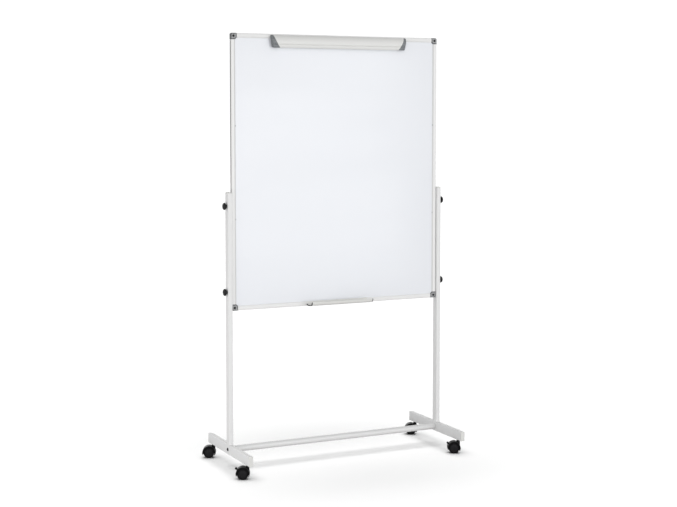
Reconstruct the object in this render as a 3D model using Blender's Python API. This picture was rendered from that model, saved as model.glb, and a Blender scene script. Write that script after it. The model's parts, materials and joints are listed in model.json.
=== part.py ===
"""Rolling whiteboard: a magnetic board with a paper clamp and a pen tray, held between two posts on
feet with four swivelling twin-wheel castors.

Metres, +Z up, origin on the floor under the middle of the box that the whole fills. The board's front
looks along -Y. The dimensions below count X from the stand's middle, which is STAND_X from the origin.
A cross-section is a list of (across, along) pairs, and skin() closes a row of such rings into a solid.
"""

import math

import bpy
import bmesh
from mathutils import Matrix, Vector

# ---------------------------------------------------------------- driving dimensions
GAP = 0.0003                    # left between two pieces that touch
STAND_X = 0.0134                # the castors trail to the left, so the stand is right of the middle

BOARD_WIDTH = 1.015
BOARD_HEIGHT = 1.200
BOARD_DEPTH = 0.016
BOARD_BOTTOM = 0.693
BOARD_TOP = BOARD_BOTTOM + BOARD_HEIGHT
BOARD_FRONT = -BOARD_DEPTH / 2

RAIL_FACE = 0.020               # width of a frame rail seen from the front
RAIL_FLAT = 0.014               # flat part of that face; the rest slopes in to the writing surface
RAIL_SLOPE = 0.0022
RAIL_LIP = 0.0030               # front wall in front of the panel
RAIL_BACK = 0.0015
PANEL_SLOT = 0.009              # depth at which the panel slot ends, from the outer edge
TRACK_MOUTH = 0.0070            # track for the sliding nuts, along the rail's outer side
TRACK_LIP = 0.0018
TRACK_WIDTH = 0.0108
TRACK_DEPTH = 0.0065

SHEET = 0.0006                  # enamelled steel writing sheet
BACK_SHEET = 0.0005
CORNER = 0.027                  # corner piece, square
CORNER_PROUD = 0.0004
CORNER_ROUND = 0.007
SCREW_RADIUS = 0.0040

POST_WIDTH = 0.020
POST_DEPTH = 0.034
POST_TOP = 1.204
TUBE_WALL = 0.0015
TUBE_ROUND = 0.0030
POST_CLEARANCE = 0.0010         # between a post and the board's side
POST_X = BOARD_WIDTH / 2 + POST_CLEARANCE + POST_WIDTH / 2

FOOT_WIDTH = 0.020
FOOT_HEIGHT = 0.043
FOOT_LENGTH = 0.480
FOOT_BOTTOM = 0.0615
FOOT_CAP = 0.004                # thickness of an end cap's visible plate
PLUG_LENGTH = 0.012
CROSSBAR_RADIUS = 0.014
CROSSBAR_Z = FOOT_BOTTOM + FOOT_HEIGHT / 2
CROSSBAR_END = 0.010            # thickness of the crossbar's end walls
BOLT_RADIUS = 0.0038
BOLT_BORE = 0.0043

CASTOR_Y = 0.2035
CASTOR_TURN = math.radians(-25.5)  # the wheels trail to the left and a little to the back
TRAIL = 0.020
WHEEL_RADIUS = 0.025
WHEEL_WIDTH = 0.0104
WHEEL_GAP = 0.0162              # between the inner faces of a pair of wheels
AXLE_RADIUS = 0.0040
AXLE_LENGTH = 0.0352
BOSS_RADIUS = 0.0076            # upright boss of the hood, round the stem's pin
BOSS_TOP = 0.0346               # above the axle
HOOD_RADIUS = 0.0298
HOOD_INNER = 0.0263
HOOD_WIDTH = 0.038
STEM_PIN = 0.0040
STEM_SCREW = 0.0050
STEM_LOW = 0.036                # lower end of the stem's pin, above the floor
STEM_COLLAR = 0.0070
BRAKE_ANGLE = math.radians(143)
BRAKE_PIVOT = 0.0250            # distance of the brake lever's pivot from the axle
BRAKE_REACH = 0.0405

KNOB_HEIGHTS = {"lower": 0.7745, "upper": 1.1480}
KNOB_RADIUS = 0.016
KNOB_LENGTH = 0.0160
STUD_RADIUS = 0.0030

CLAMP_LENGTH = 0.668
CLAMP_X = 0.007                 # the clamp's middle, to the right of the board's
CLAMP_TOP = BOARD_TOP - 0.005
CLAMP_HEIGHT = 0.0545
CLAMP_WALL = 0.0018
CLAMP_TAPER = 0.009             # each end leans in this much from top to bottom
CAP_TOP = 0.012                 # width of a clamp end cap at its top and its bottom
CAP_BOTTOM = 0.042
PIVOT_OUT = 0.0065              # hinge of the clamp bar, in front of the frame and below the clamp's top
PIVOT_DOWN = 0.0055
KNUCKLE_RADIUS = 0.0032
ROD_RADIUS = 0.0015

TRAY_LENGTH = 0.304
TRAY_REACH = 0.0570             # in front of the board
TRAY_LOW = 0.0022               # lowest point and lip, above the board's bottom
TRAY_LIP = 0.0212
TRAY_WALL = 0.0016

ROUND_STEPS = 24
HOLE_STEPS = 12

FINISHES = {
    "white_paint": ((0.87, 0.87, 0.86), 0.35, 0.0),
    "white_anodised": ((0.86, 0.86, 0.85), 0.32, 0.3),
    "white_enamel": ((0.88, 0.89, 0.92), 0.18, 0.0),
    "core_board": ((0.45, 0.36, 0.26), 0.90, 0.0),
    "back_metal": ((0.62, 0.63, 0.64), 0.45, 0.6),
    "grey_plastic": ((0.22, 0.23, 0.24), 0.50, 0.0),
    "white_plastic": ((0.84, 0.84, 0.82), 0.45, 0.0),
    "black_plastic": ((0.012, 0.012, 0.013), 0.42, 0.0),
    "black_tread": ((0.020, 0.020, 0.021), 0.60, 0.0),
    "zinc": ((0.55, 0.55, 0.54), 0.35, 1.0),
    "dark_screw": ((0.04, 0.04, 0.045), 0.40, 0.7),
}

SIDES = {"left": -1, "right": 1}
ENDS = {"front": -1, "back": 1}


# ---------------------------------------------------------------- outlines
def arc(centre, radius, start, end, steps):
    """Points on a circle about centre from angle start to angle end, in degrees."""
    angles = [math.radians(start + (end - start) * i / steps) for i in range(steps + 1)]
    return [(centre[0] + radius * math.cos(a), centre[1] + radius * math.sin(a)) for a in angles]


def rounded_rectangle(width, height, radius, steps=3):
    """Rectangle about the origin whose four corners are quarter circles."""
    across, along = width / 2 - radius, height / 2 - radius
    centres = [(across, along), (-across, along), (-across, -along), (across, -along)]
    outline = []
    for quarter, centre in enumerate(centres):
        outline += arc(centre, radius, 90 * quarter, 90 * quarter + 90, steps)
    return outline


def circle(radius, steps=ROUND_STEPS, centre=(0, 0)):
    """Circle without a repeated last point."""
    return arc(centre, radius, 0, 360, steps)[:-1]


def bezier(start, first, second, end, steps):
    """Points along a cubic Bezier curve, without its first point."""
    points = []
    for i in range(1, steps + 1):
        t = i / steps
        weights = ((1 - t) ** 3, 3 * t * (1 - t) ** 2, 3 * t * t * (1 - t), t ** 3)
        points.append(tuple(sum(w * p[k] for w, p in zip(weights, (start, first, second, end)))
                            for k in range(2)))
    return points


def offset(path, distance):
    """An open path moved sideways by distance, to the right of its direction, with mitred corners."""
    moved = []
    for i, point in enumerate(path):
        normals = []
        for a, b in ((i - 1, i), (i, i + 1)):
            if a >= 0 and b < len(path):
                along = (Vector(path[b]) - Vector(path[a])).normalized()
                normals.append(Vector((along.y, -along.x)))
        normal = sum(normals, Vector((0, 0))).normalized()
        stretch = 1 / max(0.6, normal.dot(normals[0]))
        moved.append(tuple(Vector(point) + normal * distance * stretch))
    return moved


# ---------------------------------------------------------------- building solids
def material(name):
    """The Principled material of a finish, made once."""
    if name in bpy.data.materials:
        return bpy.data.materials[name]
    colour, roughness, metallic = FINISHES[name]
    made = bpy.data.materials.new(name)
    made.use_nodes = True
    shader = made.node_tree.nodes["Principled BSDF"]
    shader.inputs["Base Color"].default_value = (*colour, 1.0)
    shader.inputs["Roughness"].default_value = roughness
    shader.inputs["Metallic"].default_value = metallic
    return made


def skin(rings, loop=False):
    """Closed mesh over rings of points. With loop the last ring joins the first, else both ends close."""
    mesh = bmesh.new()
    rows = [[mesh.verts.new(point) for point in ring] for ring in rings]
    count = len(rows[0])
    pairs = list(zip(rows, rows[1:]))
    if loop:
        pairs.append((rows[-1], rows[0]))
    for low, high in pairs:
        for i in range(count):
            j = (i + 1) % count
            mesh.faces.new((low[i], low[j], high[j], high[i]))
    if not loop:
        mesh.faces.new(rows[0])
        mesh.faces.new(rows[-1])
    mesh.normal_update()
    bmesh.ops.recalc_face_normals(mesh, faces=mesh.faces)
    if mesh.calc_volume(signed=True) < 0:
        bmesh.ops.reverse_faces(mesh, faces=mesh.faces)
    return mesh


def make(name, finish, mesh, parent=None, place=None):
    """A named object from a bmesh, with its material and its place under its parent."""
    data = bpy.data.meshes.new(name)
    mesh.to_mesh(data)
    mesh.free()
    data.shade_smooth()
    data.set_sharp_from_angle(angle=math.radians(30))
    piece = bpy.data.objects.new(name, data)
    bpy.context.scene.collection.objects.link(piece)
    piece.data.materials.append(material(finish))
    piece.parent = parent
    if place is not None:
        piece.matrix_basis = place
    return piece


def pivot(name, place, parent=None):
    """An empty on a joint's axis, which carries the pieces that move with it."""
    empty = bpy.data.objects.new(name, None)
    bpy.context.scene.collection.objects.link(empty)
    empty.empty_display_size = 0.02
    empty.parent = parent
    empty.matrix_basis = place
    return empty


def combine(piece, tools, operation):
    """Joins or cuts a piece with tool meshes given in the piece's own frame, and removes the tools."""
    for mesh in tools:
        tool = make(piece.name + "_tool", "zinc", mesh, piece.parent, piece.matrix_basis.copy())
        tool.hide_render = True
        tool.display_type = "WIRE"
        change = piece.modifiers.new(operation.lower(), "BOOLEAN")
        change.operation = operation
        change.solver = "EXACT"
        change.object = tool
        bpy.context.view_layer.update()
        evaluated = piece.evaluated_get(bpy.context.evaluated_depsgraph_get())
        shaped = bpy.data.meshes.new_from_object(evaluated)
        piece.modifiers.remove(change)
        piece.data = shaped
        bpy.data.objects.remove(tool)
    piece.data.name = piece.name
    return piece


def along_x(outline, start, end):
    """Solid of a (Y, Z) outline between two X positions. A position may be a function of the point."""
    def position(limit, point):
        return limit(point) if callable(limit) else limit
    return skin([[(position(limit, p), p[0], p[1]) for p in outline] for limit in (start, end)])


def along_y(outline, start, end):
    """Solid of an (X, Z) outline between two Y positions."""
    return skin([[(p[0], y, p[1]) for p in outline] for y in (start, end)])


def along_z(outline, start, end):
    """Solid of an (X, Y) outline between two Z positions."""
    return skin([[(p[0], p[1], z) for p in outline] for z in (start, end)])


def turned(profile, axis="Z", steps=ROUND_STEPS, bored=False):
    """Solid of revolution from (radius, height) pairs. A bored profile is a closed loop off the axis."""
    rings = []
    for radius, height in profile:
        ring = circle(radius, steps)
        if axis == "X":
            rings.append([(height, a, b) for a, b in ring])
        elif axis == "Y":
            rings.append([(a, height, b) for a, b in ring])
        else:
            rings.append([(a, b, height) for a, b in ring])
    return skin(rings, loop=bored)


def hollow(outer, inner, place):
    """Tube between two outlines of equal length; place(point, end) puts a point at end 0 or 1."""
    rings = [[place(p, 0) for p in outer], [place(p, 1) for p in outer]]
    rings += [[place(p, 1) for p in inner], [place(p, 0) for p in inner]]
    return skin(rings, loop=True)


def at(x=0.0, y=0.0, z=0.0):
    """A plain shift."""
    return Matrix.Translation((x, y, z))


# ---------------------------------------------------------------- stand
def rectangular_tube(width, height):
    """Outer and inner outline of a steel tube with round corners."""
    outer = rounded_rectangle(width, height, TUBE_ROUND)
    inner = rounded_rectangle(width - 2 * TUBE_WALL, height - 2 * TUBE_WALL, TUBE_ROUND - TUBE_WALL)
    return outer, inner


def plug_outline(width, height):
    """Outline of a plug that fits the tube's inside with a gap."""
    shrink = 2 * (TUBE_WALL + GAP)
    return rounded_rectangle(width - shrink, height - shrink, TUBE_ROUND - TUBE_WALL)


def foot(side, x):
    """Floor tube from front to back, drilled for two castor stems and the crossbar's bolt."""
    outer, inner = rectangular_tube(FOOT_WIDTH, FOOT_HEIGHT)
    half = FOOT_LENGTH / 2
    tube = hollow(outer, inner, lambda p, end: (p[0], half * (2 * end - 1), p[1]))
    piece = make(side + "_foot", "white_paint", tube, None, at(x, 0, CROSSBAR_Z))
    low = -FOOT_HEIGHT / 2
    drills = [along_z(circle(STEM_SCREW + GAP, HOLE_STEPS, (0, end * CASTOR_Y)), low - 0.002, low + 0.004)
              for end in ENDS.values()]
    drills.append(along_x(circle(BOLT_BORE, HOLE_STEPS), -FOOT_WIDTH, FOOT_WIDTH))
    combine(piece, drills, "DIFFERENCE")


def end_cap_rings(width, height, steps):
    """Rings (outline, distance out of the tube) of a push-in cap with a softly domed plate."""
    plug = plug_outline(width, height)
    plate = rounded_rectangle(width, height, TUBE_ROUND)
    rings = [(plug, -PLUG_LENGTH), (plug, GAP), (plate, GAP)]
    for inset, out in steps:
        shape = rounded_rectangle(width - 2 * inset, height - 2 * inset, TUBE_ROUND)
        rings.append((shape, out))
    return rings


def foot_cap(side, end, x):
    """Plastic end cap pushed into a foot."""
    rings = end_cap_rings(FOOT_WIDTH, FOOT_HEIGHT, [(0.0, FOOT_CAP - 0.0012), (0.0012, FOOT_CAP)])
    way = ENDS[end]
    start = FOOT_LENGTH / 2
    placed = [[(p[0], way * (start + out), p[1]) for p in outline] for outline, out in rings]
    make(f"{side}_foot_{end}_cap", "white_plastic", skin(placed), None, at(x, 0, CROSSBAR_Z))


def post(side, x):
    """Upright tube welded on the foot, drilled through for the two knob studs."""
    outer, inner = rectangular_tube(POST_WIDTH, POST_DEPTH)
    low, high = FOOT_BOTTOM + FOOT_HEIGHT + GAP, POST_TOP
    tube = hollow(outer, inner, lambda p, end: (p[0], p[1], high if end else low))
    piece = make(side + "_post", "white_paint", tube, None, at(x))
    drills = [along_x(circle(STUD_RADIUS + 0.0005, HOLE_STEPS, (0, z)), -POST_WIDTH, POST_WIDTH)
              for z in KNOB_HEIGHTS.values()]
    combine(piece, drills, "DIFFERENCE")


def post_cap(side, x):
    """Domed plastic cap on top of a post."""
    dome = [(0.0, 0.0015), (0.0008, 0.0030), (0.0026, 0.0043), (0.0055, 0.0050)]
    rings = end_cap_rings(POST_WIDTH, POST_DEPTH, dome)
    placed = [[(p[0], p[1], out) for p in outline] for outline, out in rings]
    make(side + "_post_cap", "white_plastic", skin(placed), None, at(x, 0, POST_TOP))


def crossbar():
    """Round tube between the two feet, with end walls that the bolts screw into."""
    half = POST_X - FOOT_WIDTH / 2 - GAP
    inner, inside = CROSSBAR_RADIUS - TUBE_WALL, half - CROSSBAR_END
    profile = [(CROSSBAR_RADIUS, -half), (CROSSBAR_RADIUS, half), (BOLT_BORE, half), (BOLT_BORE, inside)]
    profile += [(inner, inside), (inner, -inside), (BOLT_BORE, -inside), (BOLT_BORE, -half)]
    tube = turned(profile, "X", bored=True)
    make("crossbar", "white_paint", tube, None, at(0, 0, CROSSBAR_Z))


def crossbar_bolt(side, way):
    """Round-headed bolt through the foot into the end of the crossbar."""
    outer = POST_X + FOOT_WIDTH / 2 + GAP
    tip = POST_X - FOOT_WIDTH / 2 - CROSSBAR_END + 0.001
    profile = [(BOLT_RADIUS, tip), (BOLT_RADIUS, outer), (0.0075, outer), (0.0070, outer + 0.0020)]
    profile += [(0.0040, outer + 0.0035)]
    bolt = turned([(radius, way * x) for radius, x in profile], "X", HOLE_STEPS)
    make(side + "_crossbar_bolt", "zinc", bolt, None, at(0, 0, CROSSBAR_Z))


def stand():
    """Everything that stays put: feet, posts, caps, crossbar and its bolts."""
    for side, way in SIDES.items():
        x = way * POST_X
        foot(side, x)
        post(side, x)
        post_cap(side, x)
        crossbar_bolt(side, way)
        for end in ENDS:
            foot_cap(side, end, x)
    crossbar()


# ---------------------------------------------------------------- castors
def castor_stem(name, x, y):
    """Steel stem screwed into the foot, with the plain pin that the castor's hood turns on."""
    collar = FOOT_BOTTOM - GAP
    profile = [(STEM_PIN, STEM_LOW), (STEM_PIN, collar - 0.0012), (STEM_COLLAR, collar - 0.0012)]
    profile += [(STEM_COLLAR, collar)]
    profile += [(STEM_SCREW, collar), (STEM_SCREW, collar + 0.018)]
    make(name + "_castor_stem", "zinc", turned(profile, steps=HOLE_STEPS), None, at(x, y))


def hood(name, swivel, braked):
    """Castor housing: an arc over both wheels, a web between them, a boss on the stem and the axle."""
    arch = arc((0, 0), HOOD_RADIUS, -16, 196, 16) + arc((0, 0), HOOD_INNER, 196, -16, 16)
    piece = make(name + "_castor_hood", "black_plastic", along_y(arch, -HOOD_WIDTH / 2, HOOD_WIDTH / 2),
                 swivel, at(-TRAIL, 0, WHEEL_RADIUS))
    half_web = WHEEL_GAP / 2 - 0.0006
    web = along_y(arc((0, 0), HOOD_RADIUS - 0.001, -14, 194, 16), -half_web, half_web)
    boss = turned([(BOSS_RADIUS, 0.004), (BOSS_RADIUS, BOSS_TOP - 0.0016), (BOSS_RADIUS - 0.001, BOSS_TOP)],
                  steps=16)
    axle = turned([(AXLE_RADIUS, -AXLE_LENGTH / 2), (AXLE_RADIUS, AXLE_LENGTH / 2)], "Y", HOLE_STEPS)
    bmesh.ops.translate(boss, verts=boss.verts, vec=(TRAIL, 0, 0))
    combine(piece, [web, boss, axle], "UNION")
    bore_bottom = STEM_LOW - 0.001 - WHEEL_RADIUS
    cuts = [along_z(circle(STEM_PIN + GAP, HOLE_STEPS, (TRAIL, 0)), bore_bottom, BOSS_TOP + 0.005)]
    if braked:
        slot = along_x([(-0.0064, -0.0055), (0.0064, -0.0055), (0.0064, 0.0055), (-0.0064, 0.0055)],
                       BRAKE_PIVOT - 0.0062, 0.034)
        bmesh.ops.rotate(slot, verts=slot.verts, matrix=Matrix.Rotation(-BRAKE_ANGLE, 3, "Y"))
        cuts.append(slot)
    combine(piece, cuts, "DIFFERENCE")


def wheel(name, side, way, swivel):
    """One wheel of a pair, bored for the axle, with a rounded tread and a dished outer face."""
    inner, outer = 0.0, WHEEL_WIDTH
    bore = AXLE_RADIUS + GAP
    profile = [(bore, inner), (WHEEL_RADIUS - 0.0012, inner), (WHEEL_RADIUS, inner + 0.0012)]
    profile += [(WHEEL_RADIUS, outer - 0.0022), (WHEEL_RADIUS - 0.0022, outer)]
    profile += [(0.0185, outer), (0.0170, outer - 0.0012), (0.0075, outer - 0.0012), (0.0060, outer)]
    profile += [(bore, outer)]
    placed = [(radius, way * y) for radius, y in profile]
    make(f"{name}_castor_{side}_wheel", "black_tread", turned(placed, "Y", bored=True), swivel,
         at(-TRAIL, way * WHEEL_GAP / 2, WHEEL_RADIUS))


def brake(name, swivel):
    """Foot lever in the hood's slot: a round root on the pivot, an arm and a thick pedal edge."""
    outline = arc((0, 0), 0.0031, 125, 235, 6)
    reach = BRAKE_REACH - BRAKE_PIVOT
    outline += [(0.006, -0.0020), (reach - 0.006, -0.0022)]
    outline += arc((reach - 0.0032, 0), 0.0032, -90, 90, 6)
    outline += [(reach - 0.006, 0.0022), (0.006, 0.0020)]
    lever = along_y(outline, -0.0060, 0.0060)
    back, up = BRAKE_PIVOT * math.cos(BRAKE_ANGLE), BRAKE_PIVOT * math.sin(BRAKE_ANGLE)
    place = at(back - TRAIL, 0, WHEEL_RADIUS + up) @ Matrix.Rotation(-BRAKE_ANGLE, 4, "Y")
    make(name + "_castor_brake", "black_plastic", lever, swivel, place)


def castors():
    """Four twin-wheel castors; the two at the front have a brake."""
    for side, way in SIDES.items():
        for end, back in ENDS.items():
            name = f"{end}_{side}"
            x, y = way * POST_X, back * CASTOR_Y
            castor_stem(name, x, y)
            swivel = pivot(name + "_swivel", at(x, y) @ Matrix.Rotation(CASTOR_TURN, 4, "Z"))
            hood(name, swivel, end == "front")
            wheel(name, "near", -1, swivel)
            wheel(name, "far", 1, swivel)
            if end == "front":
                brake(name, swivel)


# ---------------------------------------------------------------- clamping knobs
def knob(side, way, level, z):
    """Hand knob with its stud: it pulls the sliding nut in the board's track against the post."""
    face = POST_X + POST_WIDTH / 2 + GAP
    tip = POST_X - POST_WIDTH / 2 - POST_CLEARANCE - 0.0062
    profile = [(STUD_RADIUS, tip - face), (STUD_RADIUS, 0), (0.0115, 0), (0.0135, 0.0030), (0.0155, 0.0045)]
    profile += [(KNOB_RADIUS, 0.0070), (KNOB_RADIUS, 0.0110), (0.0145, 0.0138), (0.0110, KNOB_LENGTH)]
    solid = turned([(radius, way * x) for radius, x in profile], "X", 18)
    axis = pivot(f"{side}_{level}_knob_axis", at(way * face, 0, z))
    make(f"{side}_{level}_knob", "black_plastic", solid, axis, Matrix.Identity(4))


def sliding_nut(side, way, level, z):
    """Flat nut that slides in the track of the board's side rail."""
    half_width, half_height = TRACK_WIDTH / 2 - 0.0005, 0.013
    low = BOARD_WIDTH / 2 - TRACK_DEPTH + GAP
    high = BOARD_WIDTH / 2 - TRACK_LIP - GAP
    block = [(-half_width, -half_height), (half_width, -half_height), (half_width, half_height),
             (-half_width, half_height)]
    body = along_x(block, way * low, way * high)
    piece = make(f"{side}_{level}_sliding_nut", "zinc", body, None, at(0, 0, z))
    hole = along_x(circle(STUD_RADIUS + GAP, HOLE_STEPS), way * (low - 0.002), way * (high + 0.002))
    combine(piece, [hole], "DIFFERENCE")


def fastenings():
    """Two knobs and two nuts on each side."""
    for side, way in SIDES.items():
        for level, z in KNOB_HEIGHTS.items():
            knob(side, way, level, z)
            sliding_nut(side, way, level, z)


# ---------------------------------------------------------------- board
def rail_outline():
    """Frame rail as (distance in from the board's outer edge, depth from its front)."""
    depth, middle = BOARD_DEPTH, BOARD_DEPTH / 2
    edge = 0.0006
    front = [(edge, 0), (RAIL_FLAT, 0), (RAIL_FACE, RAIL_SLOPE), (RAIL_FACE, RAIL_LIP)]
    slot = [(PANEL_SLOT, RAIL_LIP), (PANEL_SLOT, depth - RAIL_BACK), (RAIL_FACE, depth - RAIL_BACK)]
    back = [(RAIL_FACE, depth), (edge, depth), (0, depth - edge)]
    mouth, width = TRACK_MOUTH / 2, TRACK_WIDTH / 2
    track = [(0, middle + mouth), (TRACK_LIP, middle + mouth), (TRACK_LIP, middle + width)]
    track += [(TRACK_DEPTH, middle + width), (TRACK_DEPTH, middle - width), (TRACK_LIP, middle - width)]
    track += [(TRACK_LIP, middle - mouth), (0, middle - mouth), (0, edge)]
    return front + slot + back + track


def rails(board):
    """Four aluminium rails between the corner pieces."""
    section = rail_outline()
    half_width, half_height = BOARD_WIDTH / 2, BOARD_HEIGHT / 2
    run_x, run_z = half_width - CORNER - GAP, half_height - CORNER - GAP
    for side, way in SIDES.items():
        outline = [(way * (half_width - inward), BOARD_FRONT + depth) for inward, depth in section]
        make(side + "_rail", "white_anodised", along_z(outline, -run_z, run_z), board, at())
    for name, way in (("bottom", -1), ("top", 1)):
        outline = [(BOARD_FRONT + depth, way * (half_height - inward)) for inward, depth in section]
        make(name + "_rail", "white_anodised", along_x(outline, -run_x, run_x), board, at())


def corner_pieces(board):
    """Plastic corners, each with a slot for the panel's corner and a screw."""
    half_width, half_height = BOARD_WIDTH / 2, BOARD_HEIGHT / 2
    outline = arc((CORNER_ROUND - CORNER_PROUD, CORNER_ROUND - CORNER_PROUD), CORNER_ROUND, 180, 270, 5)
    outline += [(CORNER, -CORNER_PROUD), (CORNER, RAIL_FACE), (RAIL_FACE, CORNER), (-CORNER_PROUD, CORNER)]
    front, back = BOARD_FRONT - CORNER_PROUD, BOARD_FRONT + BOARD_DEPTH + CORNER_PROUD
    bevel = 0.0006
    low, high = bevel - CORNER_PROUD, CORNER - GAP
    trimmed = [(min(max(u, low), high), min(max(w, low), high)) for u, w in outline]
    pocket_end = 0.04
    pocket = [(PANEL_SLOT, PANEL_SLOT), (pocket_end, PANEL_SLOT), (pocket_end, pocket_end),
              (PANEL_SLOT, pocket_end)]
    pocket_depths = (BOARD_FRONT + RAIL_LIP, BOARD_FRONT + BOARD_DEPTH - RAIL_BACK)
    for side, across in SIDES.items():
        for name, up in (("bottom", -1), ("top", 1)):
            def placed(points, y):
                return [(across * (half_width - u), y, up * (half_height - w)) for u, w in points]
            block = skin([placed(trimmed, front), placed(outline, front + bevel), placed(outline, back)])
            piece = make(f"{name}_{side}_corner", "grey_plastic", block, board, at())
            slot = skin([placed(pocket, depth) for depth in pocket_depths])
            middle = CORNER / 2 - 0.0015
            centre = (across * (half_width - middle), up * (half_height - middle))
            hole = along_y(circle(SCREW_RADIUS + GAP, HOLE_STEPS, centre), front - 0.002, front + 0.0022)
            combine(piece, [slot, hole], "DIFFERENCE")
            head = [(SCREW_RADIUS - 0.0005, front + 0.0020), (SCREW_RADIUS, front + 0.0012)]
            head += [(SCREW_RADIUS, front - 0.0003), (SCREW_RADIUS - 0.0012, front - 0.0008)]
            screw = turned(head, "Y", 20)
            make(f"{name}_{side}_corner_screw", "dark_screw", screw, board, at(centre[0], 0, centre[1]))


def panel(board):
    """Writing sheet, core and back sheet, as three layers in the rails' slot."""
    inset = PANEL_SLOT + GAP
    across, up = BOARD_WIDTH / 2 - inset, BOARD_HEIGHT / 2 - inset
    outline = [(-across, -up), (across, -up), (across, up), (-across, up)]
    front = BOARD_FRONT + RAIL_LIP + GAP
    back = BOARD_FRONT + BOARD_DEPTH - RAIL_BACK - GAP
    make("writing_sheet", "white_enamel", along_y(outline, front, front + SHEET), board, at())
    core_front, core_back = front + SHEET + GAP, back - BACK_SHEET - GAP
    make("core_panel", "core_board", along_y(outline, core_front, core_back), board, at())
    make("back_sheet", "back_metal", along_y(outline, back - BACK_SHEET, back), board, at())


# ---------------------------------------------------------------- paper clamp
def clamp_path():
    """Front of the clamp bar as (out from the hinge, up from the hinge): over the hinge, down the
    swelling front, past the groove, down the lip and back under it to the writing sheet."""
    path = arc((0, 0), PIVOT_DOWN, 140, 62, 6)
    path += bezier(path[-1], (0.0075, 0.0025), (0.0150, -0.0080), (0.0152, -0.0190), 8)
    path += bezier(path[-1], (0.0153, -0.0250), (0.0146, -0.0297), (0.0136, -0.0330), 3)
    path += [(0.0118, -0.0338), (0.0118, -0.0352), (0.0138, -0.0360)]
    bottom = PIVOT_DOWN - CLAMP_HEIGHT
    path += [(0.0110, bottom + 0.0020), (0.0085, bottom), (0.0010, bottom), (-0.0088, bottom + 0.0025)]
    return path


def in_row(points):
    """Clamp section points as (Y, Z) about the hinge, with the front towards -Y."""
    return [(-out, up) for out, up in points]


def clamp_end(way, top_width, bottom_width):
    """X of a plane that leans with height, the given widths in from the clamp's end."""
    def position(point):
        down = (PIVOT_DOWN - point[1]) / CLAMP_HEIGHT
        return way * (CLAMP_LENGTH / 2 - top_width - (bottom_width - top_width) * down)
    return position


def clamp(board):
    """Hinged clamp bar for paper: fixed hinge rail and rod, and a swinging bar with two end caps."""
    hinge = (BOARD_FRONT - PIVOT_OUT, CLAMP_TOP - PIVOT_DOWN - BOARD_BOTTOM - BOARD_HEIGHT / 2)
    swing = pivot("clamp_swing", at(CLAMP_X, *hinge), board)

    half_rail = CLAMP_LENGTH / 2 - 0.030
    plate_back, plate_front = PIVOT_OUT - GAP, PIVOT_OUT - 0.0022
    rail_mesh = along_x(knuckle_outline(plate_front, plate_back), -half_rail, half_rail)
    piece = make("clamp_hinge_rail", "white_anodised", rail_mesh, swing, at())
    bore = along_x(circle(ROD_RADIUS + GAP, HOLE_STEPS), -CLAMP_LENGTH / 2, CLAMP_LENGTH / 2)
    combine(piece, [bore], "DIFFERENCE")
    rod_end = CLAMP_LENGTH / 2 - 0.006
    make("clamp_hinge_rod", "zinc", along_x(circle(ROD_RADIUS, HOLE_STEPS), -rod_end, rod_end), swing, at())

    path = clamp_path()
    shell = in_row(path + offset(path, CLAMP_WALL)[::-1])
    ends = [clamp_end(way, CAP_TOP + GAP, CAP_BOTTOM + GAP) for way in SIDES.values()]
    bar = along_x(shell, *ends)
    make("clamp_bar", "white_anodised", bar, swing, at())

    filled = in_row(path)
    for side, way in SIDES.items():
        round_edge = 0.0025
        small = shrunk(filled, round_edge)
        rings = [(filled, clamp_end(way, CAP_TOP, CAP_BOTTOM)),
                 (filled, clamp_end(way, round_edge, CLAMP_TAPER + round_edge)),
                 (small, clamp_end(way, 0, CLAMP_TAPER))]
        solid = skin([[(limit(p), *p) for p in ring] for ring, limit in rings])
        cap = make(f"clamp_{side}_end_cap", "grey_plastic", solid, swing, at())
        socket_start = CLAMP_LENGTH / 2 - CAP_BOTTOM - 0.022
        socket = along_x(circle(ROD_RADIUS + GAP, HOLE_STEPS), way * socket_start, way * (rod_end + 0.001))
        combine(cap, [socket], "DIFFERENCE")


def knuckle_outline(plate_front, plate_back):
    """Hinge rail section: a plate on the frame and a round knuckle in front of its top edge."""
    knuckle = arc((0, 0), KNUCKLE_RADIUS, 0, 290, 14)
    low = -0.0130
    plate = [(plate_front, knuckle[-1][1]), (plate_front, low), (plate_back, low), (plate_back, -GAP)]
    return knuckle + plate


def shrunk(outline, amount):
    """Outline pulled towards its middle by about amount, for a softened edge."""
    centre = sum((Vector(p) for p in outline), Vector((0, 0))) / len(outline)
    reach = max((Vector(p) - centre).length for p in outline)
    return [tuple(centre + (Vector(p) - centre) * (1 - amount / reach)) for p in outline]


# ---------------------------------------------------------------- pen tray
def tray_path():
    """Underside of the tray as (out from the board's front, up from its bottom): from the hook on the
    rail's slope down the rail, round the low back of the scoop and up to the front lip."""
    down = 0.0080
    path = [(-RAIL_SLOPE + 0.0003, RAIL_FACE), (0.00035, RAIL_FLAT + 0.0003), (0.00035, down)]
    path += bezier(path[-1], (0.0018, 0.0032), (0.0100, TRAY_LOW), (0.0200, TRAY_LOW), 5)
    path += bezier(path[-1], (0.0360, TRAY_LOW), (0.0515, 0.0045), (TRAY_REACH - 0.0012, 0.0135), 7)
    return path + [(TRAY_REACH, TRAY_LIP)]


def tray(board):
    """Pen tray: a curved scoop of one thickness, open at both ends, hooked on the bottom rail."""
    path = tray_path()
    section = path + offset(path, -TRAY_WALL)[::-1]
    half = TRAY_LENGTH / 2
    slide = pivot("tray_slide", at(0, BOARD_FRONT, -BOARD_HEIGHT / 2), board)
    scoop = along_x([(-out, up) for out, up in section], -half, half)
    make("pen_tray", "white_plastic", scoop, slide, at())


def board_assembly():
    """Everything that slides up and down between the posts."""
    board = pivot("board_height", at(0, 0, BOARD_BOTTOM + BOARD_HEIGHT / 2))
    rails(board)
    corner_pieces(board)
    panel(board)
    clamp(board)
    tray(board)


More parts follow.
